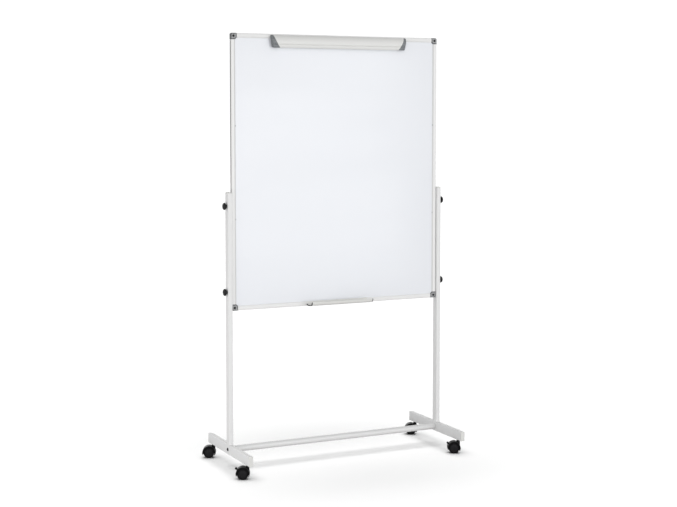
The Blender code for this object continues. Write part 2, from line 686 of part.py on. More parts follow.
def main():
    for old in list(bpy.data.objects):
        bpy.data.objects.remove(old)
    stand()
    castors()
    fastenings()
    board_assembly()
    whole = pivot("whiteboard", at(STAND_X))
    for piece in bpy.data.objects:
        if piece.parent is None and piece != whole:
            piece.parent = whole


main()
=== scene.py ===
"""Rolling whiteboard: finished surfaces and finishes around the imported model.

Metres, +Z up, the board looks along -Y. Every place is worked out from the frame: a node's box, a
joint's point or the record. A shape is a grid of points, rows by columns by three, that skin() closes
with faces; a cross-section is a list of (across, along) pairs.
"""

import json
import math

import bmesh
import bpy
import numpy as np
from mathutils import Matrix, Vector


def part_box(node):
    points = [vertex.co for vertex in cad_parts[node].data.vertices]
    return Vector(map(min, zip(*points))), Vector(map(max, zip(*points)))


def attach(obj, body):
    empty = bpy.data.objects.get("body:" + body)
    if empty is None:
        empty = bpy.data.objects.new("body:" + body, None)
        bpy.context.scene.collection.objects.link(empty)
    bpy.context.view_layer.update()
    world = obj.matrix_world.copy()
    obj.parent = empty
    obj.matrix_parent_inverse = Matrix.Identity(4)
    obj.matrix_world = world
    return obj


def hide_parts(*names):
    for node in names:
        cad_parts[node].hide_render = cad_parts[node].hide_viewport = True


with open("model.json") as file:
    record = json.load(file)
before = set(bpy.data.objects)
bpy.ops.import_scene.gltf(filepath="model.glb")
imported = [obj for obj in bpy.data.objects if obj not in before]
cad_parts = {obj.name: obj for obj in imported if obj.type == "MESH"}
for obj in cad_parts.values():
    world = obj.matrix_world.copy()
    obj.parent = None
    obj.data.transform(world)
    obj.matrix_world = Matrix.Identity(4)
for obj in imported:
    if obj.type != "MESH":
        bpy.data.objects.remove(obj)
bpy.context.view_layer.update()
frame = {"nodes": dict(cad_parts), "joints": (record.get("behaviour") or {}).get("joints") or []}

SIDES = {"left": -1, "right": 1}
ENDS = {"front": -1, "back": 1}
JOINTS = {joint["name"]: joint for joint in frame["joints"]}


# ---------------------------------------------------------------- places read from the frame
def span(node):
    """Lowest and highest corner of a node, as arrays."""
    low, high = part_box(node)
    return np.array(low), np.array(high)


def middle(node):
    """Middle of a node's box."""
    return sum(span(node)) / 2


def side_at(node, way, axis):
    """Where a node's low (way -1) or high (way 1) side lies along an axis, 0 to 2."""
    return span(node)[0 if way < 0 else 1][axis]


STAND_X = middle("crossbar")[0]
BOARD_LEFT, BOARD_RIGHT = span("left_rail")[0][0], span("right_rail")[1][0]
BOARD_BOTTOM, BOARD_TOP = span("bottom_rail")[0][2], span("top_rail")[1][2]
BOARD_FRONT, BOARD_BACK = span("left_rail")[0][1], span("left_rail")[1][1]
BOARD_DEPTH = BOARD_BACK - BOARD_FRONT
CORNER = BOARD_TOP - span("left_rail")[1][2]        # from the board's edge to where a rail ends
RAIL_FACE = span("left_rail")[1][0] - BOARD_LEFT
SHEET_FRONT = span("writing_sheet")[0][1]
FOOT_LOW, FOOT_HIGH = span("left_foot")
POST_LOW, POST_HIGH = span("left_post")


# ---------------------------------------------------------------- outlines
def arc(centre, radius, start, end, count=9):
    """Centre plus radius times (cos a, sin a), with a going evenly from start to end in degrees."""
    angle = np.radians(np.linspace(start, end, count))
    return np.stack([centre[0] + radius * np.cos(angle), centre[1] + radius * np.sin(angle)], axis=1)


def bezier(start, first, second, end, count=12):
    """Cubic Bezier curve: the four points weighted by (1-t)^3, 3t(1-t)^2, 3t^2(1-t) and t^3."""
    t = np.linspace(0, 1, count)[:, None]
    points = np.array([start, first, second, end])
    weights = np.hstack([(1 - t) ** 3, 3 * t * (1 - t) ** 2, 3 * t * t * (1 - t), t ** 3])
    return weights @ points


def rounded(corners, steps=6):
    """Closed outline of (across, along, radius) corners. Each corner becomes an arc that touches both of
    its sides: it starts radius times tan(half the turn) before the corner and turns from side to side."""
    points = np.array(corners, float)
    parts = []
    for before, here, after in zip(np.roll(points, 1, axis=0), points, np.roll(points, -1, axis=0)):
        radius = here[2]
        arriving = (here - before)[:2] / np.linalg.norm((here - before)[:2])
        leaving = (after - here)[:2] / np.linalg.norm((after - here)[:2])
        turn = math.atan2(arriving[0] * leaving[1] - arriving[1] * leaving[0], arriving @ leaving)
        if radius == 0 or abs(turn) < 1e-3:
            parts.append(here[None, :2])
            continue
        start = here[:2] - arriving * radius * math.tan(abs(turn) / 2)
        inward = np.array([-arriving[1], arriving[0]]) * math.copysign(1, turn)
        centre = start + inward * radius
        first = math.degrees(math.atan2(*(start - centre)[::-1]))
        parts.append(arc(centre, radius, first, first + math.degrees(turn), steps + 1))
    return np.vstack(parts)


def rectangle(width, height, radius, steps=6):
    """Rounded rectangle about the origin."""
    across, along = width / 2, height / 2
    signs = ((1, -1), (1, 1), (-1, 1), (-1, -1))
    return rounded([(a * across, b * along, radius) for a, b in signs], steps)


def offset(path, distance):
    """Open path moved by distance to the left of its direction: each point moves along the mean of the
    normals of its two sides, by more where the path turns, so that the wall keeps its thickness."""
    along = np.diff(path, axis=0)
    along /= np.linalg.norm(along, axis=1)[:, None]
    normals = np.stack([-along[:, 1], along[:, 0]], axis=1)
    both = np.vstack([normals[:1], normals[:-1] + normals[1:], normals[-1:]])
    both /= np.linalg.norm(both, axis=1)[:, None]
    stretch = np.sum(both * np.vstack([normals[:1], normals]), axis=1)
    return path + both * (distance / np.maximum(stretch, 0.6))[:, None]


def wall(path, thickness):
    """Closed outline of a wall with round ends: out along the path and back along its offset."""
    return np.vstack([path, offset(path, thickness)[::-1]])


# ---------------------------------------------------------------- grids of points
def skin(rings, loop_rows=False):
    """(points, faces) of a grid of closed rings: a quad from each point (i, j) to its neighbours, with one
    face over the first and one over the last ring unless the rows form a loop too."""
    rows, columns = rings.shape[:2]
    i, j = np.arange(rows if loop_rows else rows - 1)[:, None], np.arange(columns)[None, :]
    down, right = (i + 1) % rows, (j + 1) % columns
    corners = [i * columns + j, i * columns + right, down * columns + right, down * columns + j]
    faces = np.stack([c + 0 * (i + j) for c in corners], axis=-1).reshape(-1, 4).tolist()
    if not loop_rows:
        faces += [list(range(columns)), list(range((rows - 1) * columns, rows * columns))]
    return rings.reshape(-1, 3), faces


def joined(shapes):
    """Several (points, faces) shapes as one."""
    points, faces, count = [], [], 0
    for own_points, own_faces in shapes:
        points.append(own_points)
        faces += [[index + count for index in face] for face in own_faces]
        count += len(own_points)
    return np.vstack(points), faces


def moved(shape, matrix=None, shift=(0, 0, 0)):
    """The same shape with its points turned by a 3 by 3 matrix and shifted."""
    points, faces = shape
    turned_points = points if matrix is None else points @ np.array(matrix).T
    return turned_points + np.array(shift), faces


AXES = {"X": (1, 2, 0), "Y": (0, 2, 1), "Z": (0, 1, 2)}


def laid(outline, along, axis):
    """Outline points in the plane across an axis, at a place along it that may differ for each point."""
    first, second, third = AXES[axis]
    ring = np.zeros((len(outline), 3))
    ring[:, first], ring[:, second], ring[:, third] = outline[:, 0], outline[:, 1], along
    return ring


def bar(outline, start, end, axis):
    """Outline pushed along an axis from start to end, closed at both ends."""
    return skin(np.stack([laid(outline, start, axis), laid(outline, end, axis)]))


def drawn_in(outline, amount):
    """Outline scaled about its middle until each of its four sides is the amount further in."""
    low, high = outline.min(axis=0), outline.max(axis=0)
    centre, half = (low + high) / 2, (high - low) / 2
    return centre + (outline - centre) * (1 - amount / half)


def softened_bar(outline, start, end, axis, edge, steps=3):
    """Bar whose end edges are rounded: near each end the outline shrinks towards its middle by
    edge (1 - cos a) while it moves edge (1 - sin a) short of the end, with a from 0 to 90 degrees."""
    way = math.copysign(1, end - start)
    angle = np.radians(np.linspace(0, 90, steps + 1))
    steps_in = list(zip(edge * (1 - np.cos(angle)), way * edge * (1 - np.sin(angle))))
    rings = [laid(drawn_in(outline, shrink), start + short, axis) for shrink, short in steps_in[::-1]]
    rings += [laid(drawn_in(outline, shrink), end - short, axis) for shrink, short in steps_in]
    return skin(np.stack(rings))


def turned(profile, axis="Z", steps=48, lobes=0, depth=0.0, loop=False):
    """(radius, height) profile turned about an axis; a loop is a closed profile that doesn't reach it. With
    lobes the radius is multiplied by 1 - depth (1 - cos(lobes a)) / 2 as the angle a goes round."""
    profile = np.array(profile, float)
    angle = np.linspace(0, 2 * np.pi, steps, endpoint=False)[None, :]
    radius = profile[:, :1] * (1 - depth * (1 - np.cos(lobes * angle)) / 2)
    first, second, third = AXES[axis]
    rings = np.zeros((len(profile), steps, 3))
    rings[..., first], rings[..., second] = radius * np.cos(angle), radius * np.sin(angle)
    rings[..., third] = profile[:, 1:]
    return skin(rings, loop_rows=loop)


def turn_up(angle):
    """Matrix that turns a point about Y by an angle in radians, from +X towards +Z."""
    return [[math.cos(angle), 0, -math.sin(angle)], [0, 1, 0], [math.sin(angle), 0, math.cos(angle)]]


def softened(profile, radius, steps=4):
    """Open (radius, height) profile with its inner corners rounded, as rounded() does."""
    path = [(*profile[0], 0)] + [(*point, radius) for point in profile[1:-1]] + [(*profile[-1], 0)]
    return rounded(path, steps)


# ---------------------------------------------------------------- pieces
SHARP = math.radians(35)        # edges that turn by more than this stay sharp


def smooth(data):
    data.shade_smooth()
    data.set_sharp_from_angle(angle=SHARP)


def piece(name, shape, finish, body, replaces=(), bevel=0.0):
    """A named object from a shape: doubles merged, faces turned outwards, smooth between sharp edges."""
    points, faces = shape
    data = bpy.data.meshes.new(name)
    data.from_pydata(points, [], faces)
    mesh = bmesh.new()
    mesh.from_mesh(data)
    bmesh.ops.remove_doubles(mesh, verts=mesh.verts, dist=1e-6)
    bmesh.ops.recalc_face_normals(mesh, faces=mesh.faces)
    mesh.to_mesh(data)
    mesh.free()
    smooth(data)
    made = bpy.data.objects.new(name, data)
    bpy.context.scene.collection.objects.link(made)
    data.materials.append(finish)
    if bevel:
        edge = made.modifiers.new("edge", "BEVEL")
        edge.width, edge.segments, edge.limit_method = bevel, 2, "ANGLE"
        edge.angle_limit = math.radians(50)
    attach(made, body)
    if replaces:
        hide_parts(*replaces)
    return made


def cut(target, shape):
    """A shape cut out of a piece, with the result kept as its mesh."""
    tool = piece("tool", shape, target.data.materials[0], "stand")
    change = target.modifiers.new("shaping", "BOOLEAN")
    change.operation, change.solver, change.object = "DIFFERENCE", "EXACT", tool
    bpy.context.view_layer.update()
    evaluated = target.evaluated_get(bpy.context.evaluated_depsgraph_get())
    shaped = bpy.data.meshes.new_from_object(evaluated)
    target.modifiers.remove(change)
    target.data = shaped
    bpy.data.objects.remove(tool)
    smooth(shaped)


# ---------------------------------------------------------------- node groups
def group(name, inputs, outputs):
    """An empty shader node group from (kind, name, start value) inputs and output names: the group, the
    sockets its nodes read from and the sockets they end in."""
    tree = bpy.data.node_groups.new(name, "ShaderNodeTree")
    for kind, label, value in inputs:
        made = tree.interface.new_socket(label, in_out="INPUT", socket_type="NodeSocket" + kind)
        if value is not None:
            made.default_value = value
    for label in outputs:
        tree.interface.new_socket(label, in_out="OUTPUT", socket_type="NodeSocketFloat")
    return tree, tree.nodes.new("NodeGroupInput").outputs, tree.nodes.new("NodeGroupOutput").inputs


def node(tree, kind, links=None, **settings):
    """A node with plain settings; links maps its input names or numbers to values or other sockets."""
    made = tree.nodes.new("ShaderNode" + kind)
    for key, value in settings.items():
        setattr(made, key, value)
    for key, value in (links or {}).items():
        if isinstance(value, bpy.types.NodeSocket):
            tree.links.new(value, made.inputs[key])
        else:
            made.inputs[key].default_value = value
    return made


def noise(tree, vector, scale, detail, **more):
    """Noise texture's value at a vector; more sets its other inputs."""
    return node(tree, "TexNoise", {"Vector": vector, "Scale": scale, "Detail": detail, **more}).outputs[0]


def ramp(tree, value, low, high, to_low=0.0, to_high=1.0):
    """Value mapped from one range to another, clamped, as a socket."""
    sockets = {"Value": value, "From Min": low, "From Max": high, "To Min": to_low, "To Max": to_high}
    return node(tree, "MapRange", sockets).outputs["Result"]


def sums(tree, operation, first, second=0.0):
    return node(tree, "Math", {0: first, 1: second}, operation=operation).outputs["Value"]


def times(tree, first, second):
    return sums(tree, "MULTIPLY", first, second)


def apart(tree, first, second):
    """Distance between two values."""
    return sums(tree, "ABSOLUTE", sums(tree, "SUBTRACT", first, second))


def tinted(tree, amount, first, second):
    """Colour that goes from first to second with amount."""
    mix = node(tree, "Mix", {"Factor": amount}, data_type="RGBA")
    for index, value in ((6, first), (7, second)):
        if isinstance(value, bpy.types.NodeSocket):
            tree.links.new(value, mix.inputs[index])
        else:
            mix.inputs[index].default_value = (*value, 1)
    return mix.outputs[2]


def orange_peel_group():
    """Sprayed or baked coating: soft ripples a few millimetres apart over a fine grain."""
    tree, start, end = group("orange_peel", [("Vector", "Vector", None), ("Float", "Ripples", 300.0),
                                             ("Float", "Grain", 2500.0)], ["Height", "Cloud"])
    ripples = noise(tree, start["Vector"], start["Ripples"], 2.0)
    grain = noise(tree, start["Vector"], start["Grain"], 1.0)
    tree.links.new(sums(tree, "ADD", ripples, times(tree, grain, 0.25)), end["Height"])
    tree.links.new(noise(tree, start["Vector"], 9.0, 3.0), end["Cloud"])
    return tree


def moulded_grain_group():
    """Moulded plastic: a spark-eroded grain of small cells, and blotches where the mould is duller."""
    tree, start, end = group("moulded_grain", [("Vector", "Vector", None), ("Float", "Cells", 1600.0),
                                               ("Float", "Blotches", 260.0)], ["Height", "Blotch"])
    cells = node(tree, "TexVoronoi", {"Vector": start["Vector"], "Scale": start["Cells"]})
    blotch = noise(tree, start["Vector"], start["Blotches"], 4.0, Roughness=0.65)
    tree.links.new(cells.outputs["Distance"], end["Height"])
    tree.links.new(ramp(tree, blotch, 0.3, 0.7), end["Blotch"])
    return tree


def drawn_lines_group():
    """Fine lines left by a drawing or extruding die: noise squeezed across the run and long along it."""
    tree, start, end = group("drawn_lines", [("Vector", "Vector", None),
                                             ("Vector", "Squeeze", (2.0, 900.0, 900.0))], ["Line", "Band"])
    squeezed = node(tree, "VectorMath", {0: start["Vector"], 1: start["Squeeze"]},
                    operation="MULTIPLY").outputs[0]
    line = noise(tree, squeezed, 1.0, 3.0, Roughness=0.7)
    tree.links.new(ramp(tree, line, 0.35, 0.65), end["Line"])
    tree.links.new(ramp(tree, noise(tree, squeezed, 0.17, 1.0), 0.3, 0.7), end["Band"])
    return tree


def floor_dust_group():
    """Dust and rubbed dirt that gathers near the floor: full at zero height, gone at the given height."""
    tree, start, end = group("floor_dust", [("Vector", "Vector", None), ("Float", "Height", 0.08)], ["Mask"])
    up = node(tree, "SeparateXYZ", {0: start["Vector"]}).outputs["Z"]
    low = ramp(tree, sums(tree, "DIVIDE", up, start["Height"]), 0.0, 1.0, 1.0, 0.0)
    specks = noise(tree, start["Vector"], 420.0, 5.0, Roughness=0.7)
    patches = noise(tree, start["Vector"], 45.0, 2.0)
    both = times(tree, ramp(tree, specks, 0.45, 0.7), ramp(tree, patches, 0.4, 0.65))
    tree.links.new(times(tree, low, both), end["Mask"])
    return tree


def hairline_scuffs_group():
    """Light scratches from handling: thin ridges of a stretched noise, broken up by a coarse one."""
    tree, start, end = group("hairline_scuffs", [("Vector", "Vector", None), ("Float", "Scale", 60.0)],
                             ["Mask"])
    slanted = node(tree, "Mapping", {"Vector": start["Vector"], "Rotation": (0.3, 0.7, 0.2),
                                     "Scale": (1.0, 1.0, 9.0)}).outputs[0]
    lines = noise(tree, slanted, start["Scale"], 4.0, Distortion=0.4)
    thin = ramp(tree, apart(tree, lines, 0.5), 0.0, 0.006, 1.0, 0.0)
    patches = noise(tree, start["Vector"], 14.0, 1.0)
    tree.links.new(times(tree, thin, ramp(tree, patches, 0.5, 0.62)), end["Mask"])
    return tree


def rail_painted_shade_group():
    """Two zones of painted shade on a frame rail, from how far in from the board's edge and how far back from
    its front a point is: the bevel beside the writing sheet, and the inside of the T track."""
    tree, start, end = group("rail_bands", [("Float", "In", 0.0), ("Float", "Back", 0.0)], ["Bevel", "Track"])
    inward, back = start["In"], start["Back"]
    near_front = ramp(tree, back, 0.0032, 0.0040, 1.0, 0.0)
    tree.links.new(times(tree, ramp(tree, inward, 0.0138, 0.0146), near_front), end["Bevel"])
    not_deep = ramp(tree, inward, 0.0070, 0.0074, 1.0, 0.0)
    inside = times(tree, ramp(tree, inward, 0.0003, 0.0012), not_deep)
    level = ramp(tree, apart(tree, back, BOARD_DEPTH / 2), 0.0055, 0.0058, 1.0, 0.0)
    tree.links.new(times(tree, inside, level), end["Track"])
    return tree


ORANGE_PEEL = orange_peel_group()
MOULDED_GRAIN = moulded_grain_group()
DRAWN_LINES = drawn_lines_group()
FLOOR_DUST = floor_dust_group()
HAIRLINE_SCUFFS = hairline_scuffs_group()
RAIL_PAINTED_SHADE = rail_painted_shade_group()


# ---------------------------------------------------------------- finishes
def finish(name, colour, roughness, metallic=0.0):
    """A new material with its node tree, Principled shader and Object coordinates."""
    made = bpy.data.materials.new(name)
    made.use_nodes = True
    tree = made.node_tree
    shader = tree.nodes["Principled BSDF"]
    shader.inputs["Base Color"].default_value = (*colour, 1)
    shader.inputs["Roughness"].default_value = roughness
    shader.inputs["Metallic"].default_value = metallic
    return made, tree, shader, node(tree, "TexCoord").outputs["Object"]


def effect(tree, shared, vector, **links):
    """Outputs of a shared node group placed in a material."""
    return node(tree, "Group", {"Vector": vector, **links}, node_tree=shared).outputs


def surfaced(tree, shader, colour, roughness, height, depth, strength=0.5):
    """Colour and roughness sockets fed to a shader, and a height bumped to a depth in metres. Without a
    roughness socket the shader keeps its own."""
    tree.links.new(colour, shader.inputs["Base Color"])
    if roughness is not None:
        tree.links.new(roughness, shader.inputs["Roughness"])
    bump = node(tree, "Bump", {"Height": height, "Distance": depth, "Strength": strength})
    tree.links.new(bump.outputs["Normal"], shader.inputs["Normal"])


def scaled(colour, share):
    return tuple(min(1.0, share * channel) for channel in colour)


def powder_coat():
    """White powder coat on steel tube, faintly dusty near the floor."""
    made, tree, shader, vector = finish("white_powder_coat", (0.80, 0.80, 0.80), 0.36)
    peel = effect(tree, ORANGE_PEEL, vector, Ripples=420.0, Grain=2600.0)
    dust = effect(tree, FLOOR_DUST, vector, Height=0.11)["Mask"]
    scuff = effect(tree, HAIRLINE_SCUFFS, vector, Scale=40.0)["Mask"]
    cloudy = tinted(tree, peel["Cloud"], (0.815, 0.815, 0.815), (0.845, 0.845, 0.843))
    dusty = tinted(tree, times(tree, dust, 0.30), cloudy, (0.50, 0.49, 0.47))
    scuffed = tinted(tree, times(tree, scuff, 0.08), dusty, (0.55, 0.55, 0.55))
    rough = sums(tree, "ADD", ramp(tree, peel["Cloud"], 0.3, 0.7, 0.32, 0.42), times(tree, dust, 0.3))
    surfaced(tree, shader, scuffed, rough, peel["Height"], 0.00006, 0.6)
    return made


def lacquered(name, squeeze, colour, roughness=0.30, across=None, bevel=1.0):
    """White lacquer over extruded aluminium: the die's lines show through as the faintest streaks. For a
    rail, across is (axis, low edge, high edge) of the board: its bevel is painted darker as shade, to a
    share of the colour, and its track is painted near black as shade."""
    made, tree, shader, vector = finish(name, colour, roughness)
    lines = effect(tree, DRAWN_LINES, vector, Squeeze=squeeze)
    peel = effect(tree, ORANGE_PEEL, vector, Ripples=520.0, Grain=3000.0)
    shade = tinted(tree, lines["Band"], scaled(colour, 0.975), colour)
    if across:
        axis, low, high = across
        place = node(tree, "SeparateXYZ", {0: vector}).outputs
        inward = sums(tree, "SUBTRACT", (high - low) / 2, apart(tree, place[axis], (low + high) / 2))
        back = sums(tree, "SUBTRACT", place["Y"], BOARD_FRONT)
        bands = node(tree, "Group", {"In": inward, "Back": back}, node_tree=RAIL_PAINTED_SHADE).outputs
        # painted shade: the bevel is darkened to a share of the colour and the T track's inside is painted
        # near black
        shade = tinted(tree, bands["Bevel"], shade, scaled(colour, bevel))
        shade = tinted(tree, bands["Track"], shade, (0.045, 0.045, 0.048))
    rough = ramp(tree, lines["Line"], 0.0, 1.0, roughness - 0.05, roughness + 0.07)
    height = sums(tree, "ADD", times(tree, lines["Line"], 0.5), peel["Height"])
    surfaced(tree, shader, shade, rough, height, 0.00003)
    return made


def enamel():
    """Glossy cool white writing enamel, with slow waves in the sheet and wiping marks in its gloss."""
    made, tree, shader, vector = finish("writing_enamel", (0.86, 0.88, 0.92), 0.20)
    wiped = effect(tree, DRAWN_LINES, vector, Squeeze=(5.0, 1.0, 38.0))
    peel = effect(tree, ORANGE_PEEL, vector, Ripples=240.0, Grain=2000.0)
    shade = tinted(tree, peel["Cloud"], (0.855, 0.875, 0.918), (0.868, 0.886, 0.925))
    waves = times(tree, noise(tree, vector, 4.0, 1.0), 12.0)
    height = sums(tree, "ADD", waves, times(tree, peel["Height"], 0.35))
    surfaced(tree, shader, shade, ramp(tree, wiped["Band"], 0.0, 1.0, 0.16, 0.24), height, 0.00003)
    return made


def moulded(name, colour, roughness, contrast=0.12, depth=0.00005, cells=1500.0, dust=0.0, gloss=0.5):
    """Moulded plastic: grain in the surface, slightly blotchy colour and gloss, dusty low down."""
    made, tree, shader, vector = finish(name, colour, roughness)
    shader.inputs["Specular IOR Level"].default_value = gloss
    grain = effect(tree, MOULDED_GRAIN, vector, Cells=cells, Blotches=240.0)
    shade = tinted(tree, grain["Blotch"], scaled(colour, 1 - contrast), scaled(colour, 1 + contrast))
    rough = ramp(tree, grain["Blotch"], 0.0, 1.0, roughness + 0.06, roughness - 0.06)
    if dust:
        amount = times(tree, effect(tree, FLOOR_DUST, vector, Height=0.06)["Mask"], dust)
        shade = tinted(tree, amount, shade, (0.30, 0.28, 0.26))
        rough = sums(tree, "ADD", rough, amount)
    surfaced(tree, shader, shade, rough, grain["Height"], depth, 0.6)
    return made


def zinc_plated():
    """Bright zinc with turning marks and cloudy plating."""
    colour, roughness = (0.62, 0.62, 0.60), 0.32
    made, tree, shader, vector = finish("zinc_plate", colour, roughness, metallic=1.0)
    line = effect(tree, DRAWN_LINES, vector, Squeeze=(60.0, 60.0, 900.0))["Line"]
    cloud = effect(tree, MOULDED_GRAIN, vector, Cells=2500.0, Blotches=300.0)["Blotch"]
    shade = tinted(tree, cloud, scaled(colour, 0.8), colour)
    rough = ramp(tree, line, 0.0, 1.0, roughness - 0.08, roughness + 0.12)
    surfaced(tree, shader, shade, rough, line, 0.00002)
    return made


def coated_back():
    """Thin grey-lacquered back sheet, cloudy as galvanised steel is under paint."""
    made, tree, shader, vector = finish("lacquered_back", (0.60, 0.61, 0.62), 0.42, metallic=0.35)
    spangle = node(tree, "TexVoronoi", {"Vector": vector, "Scale": 70.0})
    peel = effect(tree, ORANGE_PEEL, vector, Ripples=300.0, Grain=2000.0)
    scuff = effect(tree, HAIRLINE_SCUFFS, vector, Scale=25.0)["Mask"]
    flake = node(tree, "SeparateColor", {0: spangle.outputs["Color"]}).outputs[0]
    shade = tinted(tree, flake, (0.575, 0.585, 0.595), (0.62, 0.63, 0.64))
    shade = tinted(tree, times(tree, scuff, 0.25), shade, (0.72, 0.72, 0.72))
    surfaced(tree, shader, shade, ramp(tree, flake, 0.0, 1.0, 0.38, 0.46), peel["Height"], 0.00004)
    return made


def paper_core():
    """Brown paper core, with the fibres of the liner."""
    made, tree, shader, vector = finish("paper_core", (0.45, 0.35, 0.24), 0.85)
    fibres = noise(tree, vector, 900.0, 6.0, Roughness=0.8)
    shade = tinted(tree, fibres, (0.36, 0.27, 0.18), (0.52, 0.42, 0.30))
    surfaced(tree, shader, shade, None, fibres, 0.0001, 0.7)
    return made


FLOOR_BOUNCE = 0.15             # how much of its light the floor throws back up on the object


def studio_floor():
    """Matt white sweep, which throws less light up at the object than it shows, so undersides stay shaded."""
    made, tree, shader, vector = finish("studio_floor", (0.30, 0.30, 0.30), 1.0)
    shader.inputs["Specular IOR Level"].default_value = 0.0
    paper = tinted(tree, noise(tree, vector, 0.6, 1.0), (0.298, 0.298, 0.298), (0.302, 0.302, 0.302))
    seen = node(tree, "LightPath").outputs["Is Camera Ray"]
    tree.links.new(tinted(tree, seen, (FLOOR_BOUNCE,) * 3, paper), shader.inputs["Base Color"])
    return made


COAT = powder_coat()
# painted shade: the across rails and the hinge rail carry a darker copy of the frame's one lacquer than the
# uprights, and the uprights' bevel a deeper painted shade
FRAME_UPRIGHT = lacquered("lacquered_upright", (900.0, 900.0, 2.0), (0.90, 0.90, 0.895),
                          across=("X", BOARD_LEFT, BOARD_RIGHT), bevel=0.80)
FRAME_ACROSS_SHADED = lacquered("lacquered_across", (2.0, 900.0, 900.0), (0.87, 0.87, 0.865),
                         across=("Z", BOARD_BOTTOM, BOARD_TOP), bevel=0.97)
CLAMP_COVER = lacquered("lacquered_clamp", (2.0, 700.0, 700.0), (0.80, 0.80, 0.785), 0.34)
ENAMEL = enamel()
GREY = moulded("grey_moulding", (0.205, 0.218, 0.228), 0.46, contrast=0.30, depth=0.00009, cells=900.0)
# painted shade and light: one grey moulding split into a dark body, shaded as its rounded rim turns away, and
# a lighter face plate
CORNER_BODY_SHADED = moulded("corner_moulding", (0.120, 0.126, 0.132), 0.50, contrast=0.20, depth=0.00006,
                      gloss=0.35)
CORNER_FACE_LIT = moulded("corner_face", (0.36, 0.365, 0.37), 0.44, contrast=0.10, depth=0.00004)
CLIP = moulded("clip_moulding", (0.52, 0.53, 0.54), 0.45, contrast=0.05, depth=0.00003)
DARK_TRIM = moulded("tray_trim", (0.045, 0.046, 0.050), 0.45, contrast=0.15, gloss=0.35)
WHITE = moulded("white_moulding", (0.79, 0.79, 0.765), 0.42, contrast=0.015, depth=0.00003)
BLACK = moulded("black_moulding", (0.0050, 0.0050, 0.0055), 0.40, contrast=0.15, dust=0.06, gloss=0.22)
TYRE = moulded("wheel_tyre", (0.0045, 0.0045, 0.0050), 0.60, contrast=0.15, cells=2200.0, dust=0.12,
               gloss=0.12)
HUB = moulded("wheel_hub", (0.0085, 0.0085, 0.0095), 0.42, contrast=0.12, dust=0.06, gloss=0.22)
KNOB = moulded("knob_moulding", (0.0080, 0.0080, 0.0090), 0.40, contrast=0.12, gloss=0.30)
ZINC = zinc_plated()
DARK_STEEL = moulded("blackened_steel", (0.0070, 0.0070, 0.0080), 0.38, contrast=0.25, cells=2500.0,
                     gloss=0.25)
BACK = coated_back()
CORE = paper_core()
CARRIED = {"writing_sheet": ENAMEL, "core_panel": CORE, "back_sheet": BACK, "clamp_hinge_rod": ZINC,
           "clamp_hinge_rail": FRAME_ACROSS_SHADED,
           **{f"{side}_{level}_sliding_nut": ZINC for side in SIDES for level in ("lower", "upper")}}


def dress_carried_nodes():
    """Finishes for the nodes that keep their own solids."""
    for name, finish_used in CARRIED.items():
        slots = frame["nodes"][name].data.materials
        slots.clear()
        slots.append(finish_used)


# ---------------------------------------------------------------- frame of the board
def rail_outline():
    """Rail section as (in from the board's edge, back from its front): rounded outer edges, a slope down
    to the writing sheet, the sheet's slot and the T track in the outer side."""
    depth, half_mouth, half_track, lip, bed = BOARD_DEPTH, 0.0035, 0.0054, 0.0018, 0.0065
    centre, face = depth / 2, RAIL_FACE
    front = [(0, 0, 0.0040), (0.0140, 0, 0.0030), (face, 0.0022, 0.0006), (face, 0.0030, 0)]
    slot = [(0.0090, 0.0030, 0), (0.0090, depth - 0.0015, 0), (face, depth - 0.0015, 0)]
    back = [(face, depth, 0.0005), (0, depth, 0.0030)]
    track = [(0, centre + half_mouth, 0.0006), (lip, centre + half_mouth, 0.0003)]
    track += [(lip, centre + half_track, 0.0003), (bed, centre + half_track, 0.0006)]
    track += [(bed, centre - half_track, 0.0006), (lip, centre - half_track, 0.0003)]
    track += [(lip, centre - half_mouth, 0.0003), (0, centre - half_mouth, 0.0006)]
    return rounded(front + slot + back + track)


# each edge of the board and the way from it towards the board's middle
EDGES = {"left": (BOARD_LEFT, 1), "right": (BOARD_RIGHT, -1), "bottom": (BOARD_BOTTOM, 1),
         "top": (BOARD_TOP, -1)}


def rails():
    """Four rails, each between two corner pieces."""
    section = rail_outline()
    for name, (edge, way) in EDGES.items():
        upright = name in SIDES
        axis, number, look_used = ("Z", 2, FRAME_UPRIGHT) if upright else ("X", 0, FRAME_ACROSS_SHADED)
        start, end = (corner[number] for corner in span(name + "_rail"))
        pair = [edge + way * section[:, 0], BOARD_FRONT + section[:, 1]]
        outline = np.stack(pair if upright else pair[::-1], axis=1)
        piece(name + "_frame_rail", bar(outline, start, end, axis), look_used, "board",
              [name + "_rail"], bevel=0.0003)


# ---------------------------------------------------------------- corner pieces
def corner_rings(outline, centre):
    """Rings of a corner piece as (in, in, back) triples, from its screw hole over the dished face, down the
    rounded rim to the back. A ring is the outline pulled to centre; its depth follows a smooth rise from
    the dish to the face and a quarter circle over the rim."""
    proud, rim, seat = 0.0004, 0.0034, 0.0046
    away = outline - centre
    reach = np.linalg.norm(away, axis=1)[:, None]
    unit = away / reach
    rings = []

    def ring(radii, back):
        points = centre + unit * radii
        rings.append(np.hstack([points, np.full((len(points), 1), back)]))

    hole, dish, lip = 0.0041, 0.0012, 0.0012
    ring(hole, 0.0030)
    ring(hole, dish)
    for t in np.linspace(0, 1, 6):
        rise = t * t * (3 - 2 * t)
        ring(seat + (lip + 0.0008) * t, dish - (dish + proud) * rise)
    inner = reach - rim
    for t in np.linspace(0.15, 1, 5):
        ring(np.maximum(inner * t, seat + lip + 0.0010 * t), -proud)
    for angle in np.radians(np.linspace(12, 90, 8)):
        ring(np.maximum(inner, seat + lip + 0.0012) + (reach - inner) * math.sin(angle),
             -proud + rim * (1 - math.cos(angle)))
    back = BOARD_DEPTH + proud
    ring(reach, back - 0.0030)
    for angle in np.radians(np.linspace(20, 90, 5)):
        ring(reach - 0.0030 * (1 - math.cos(angle)), back - 0.0030 * (1 - math.sin(angle)))
    ring(0.0, back)
    return np.stack(rings)


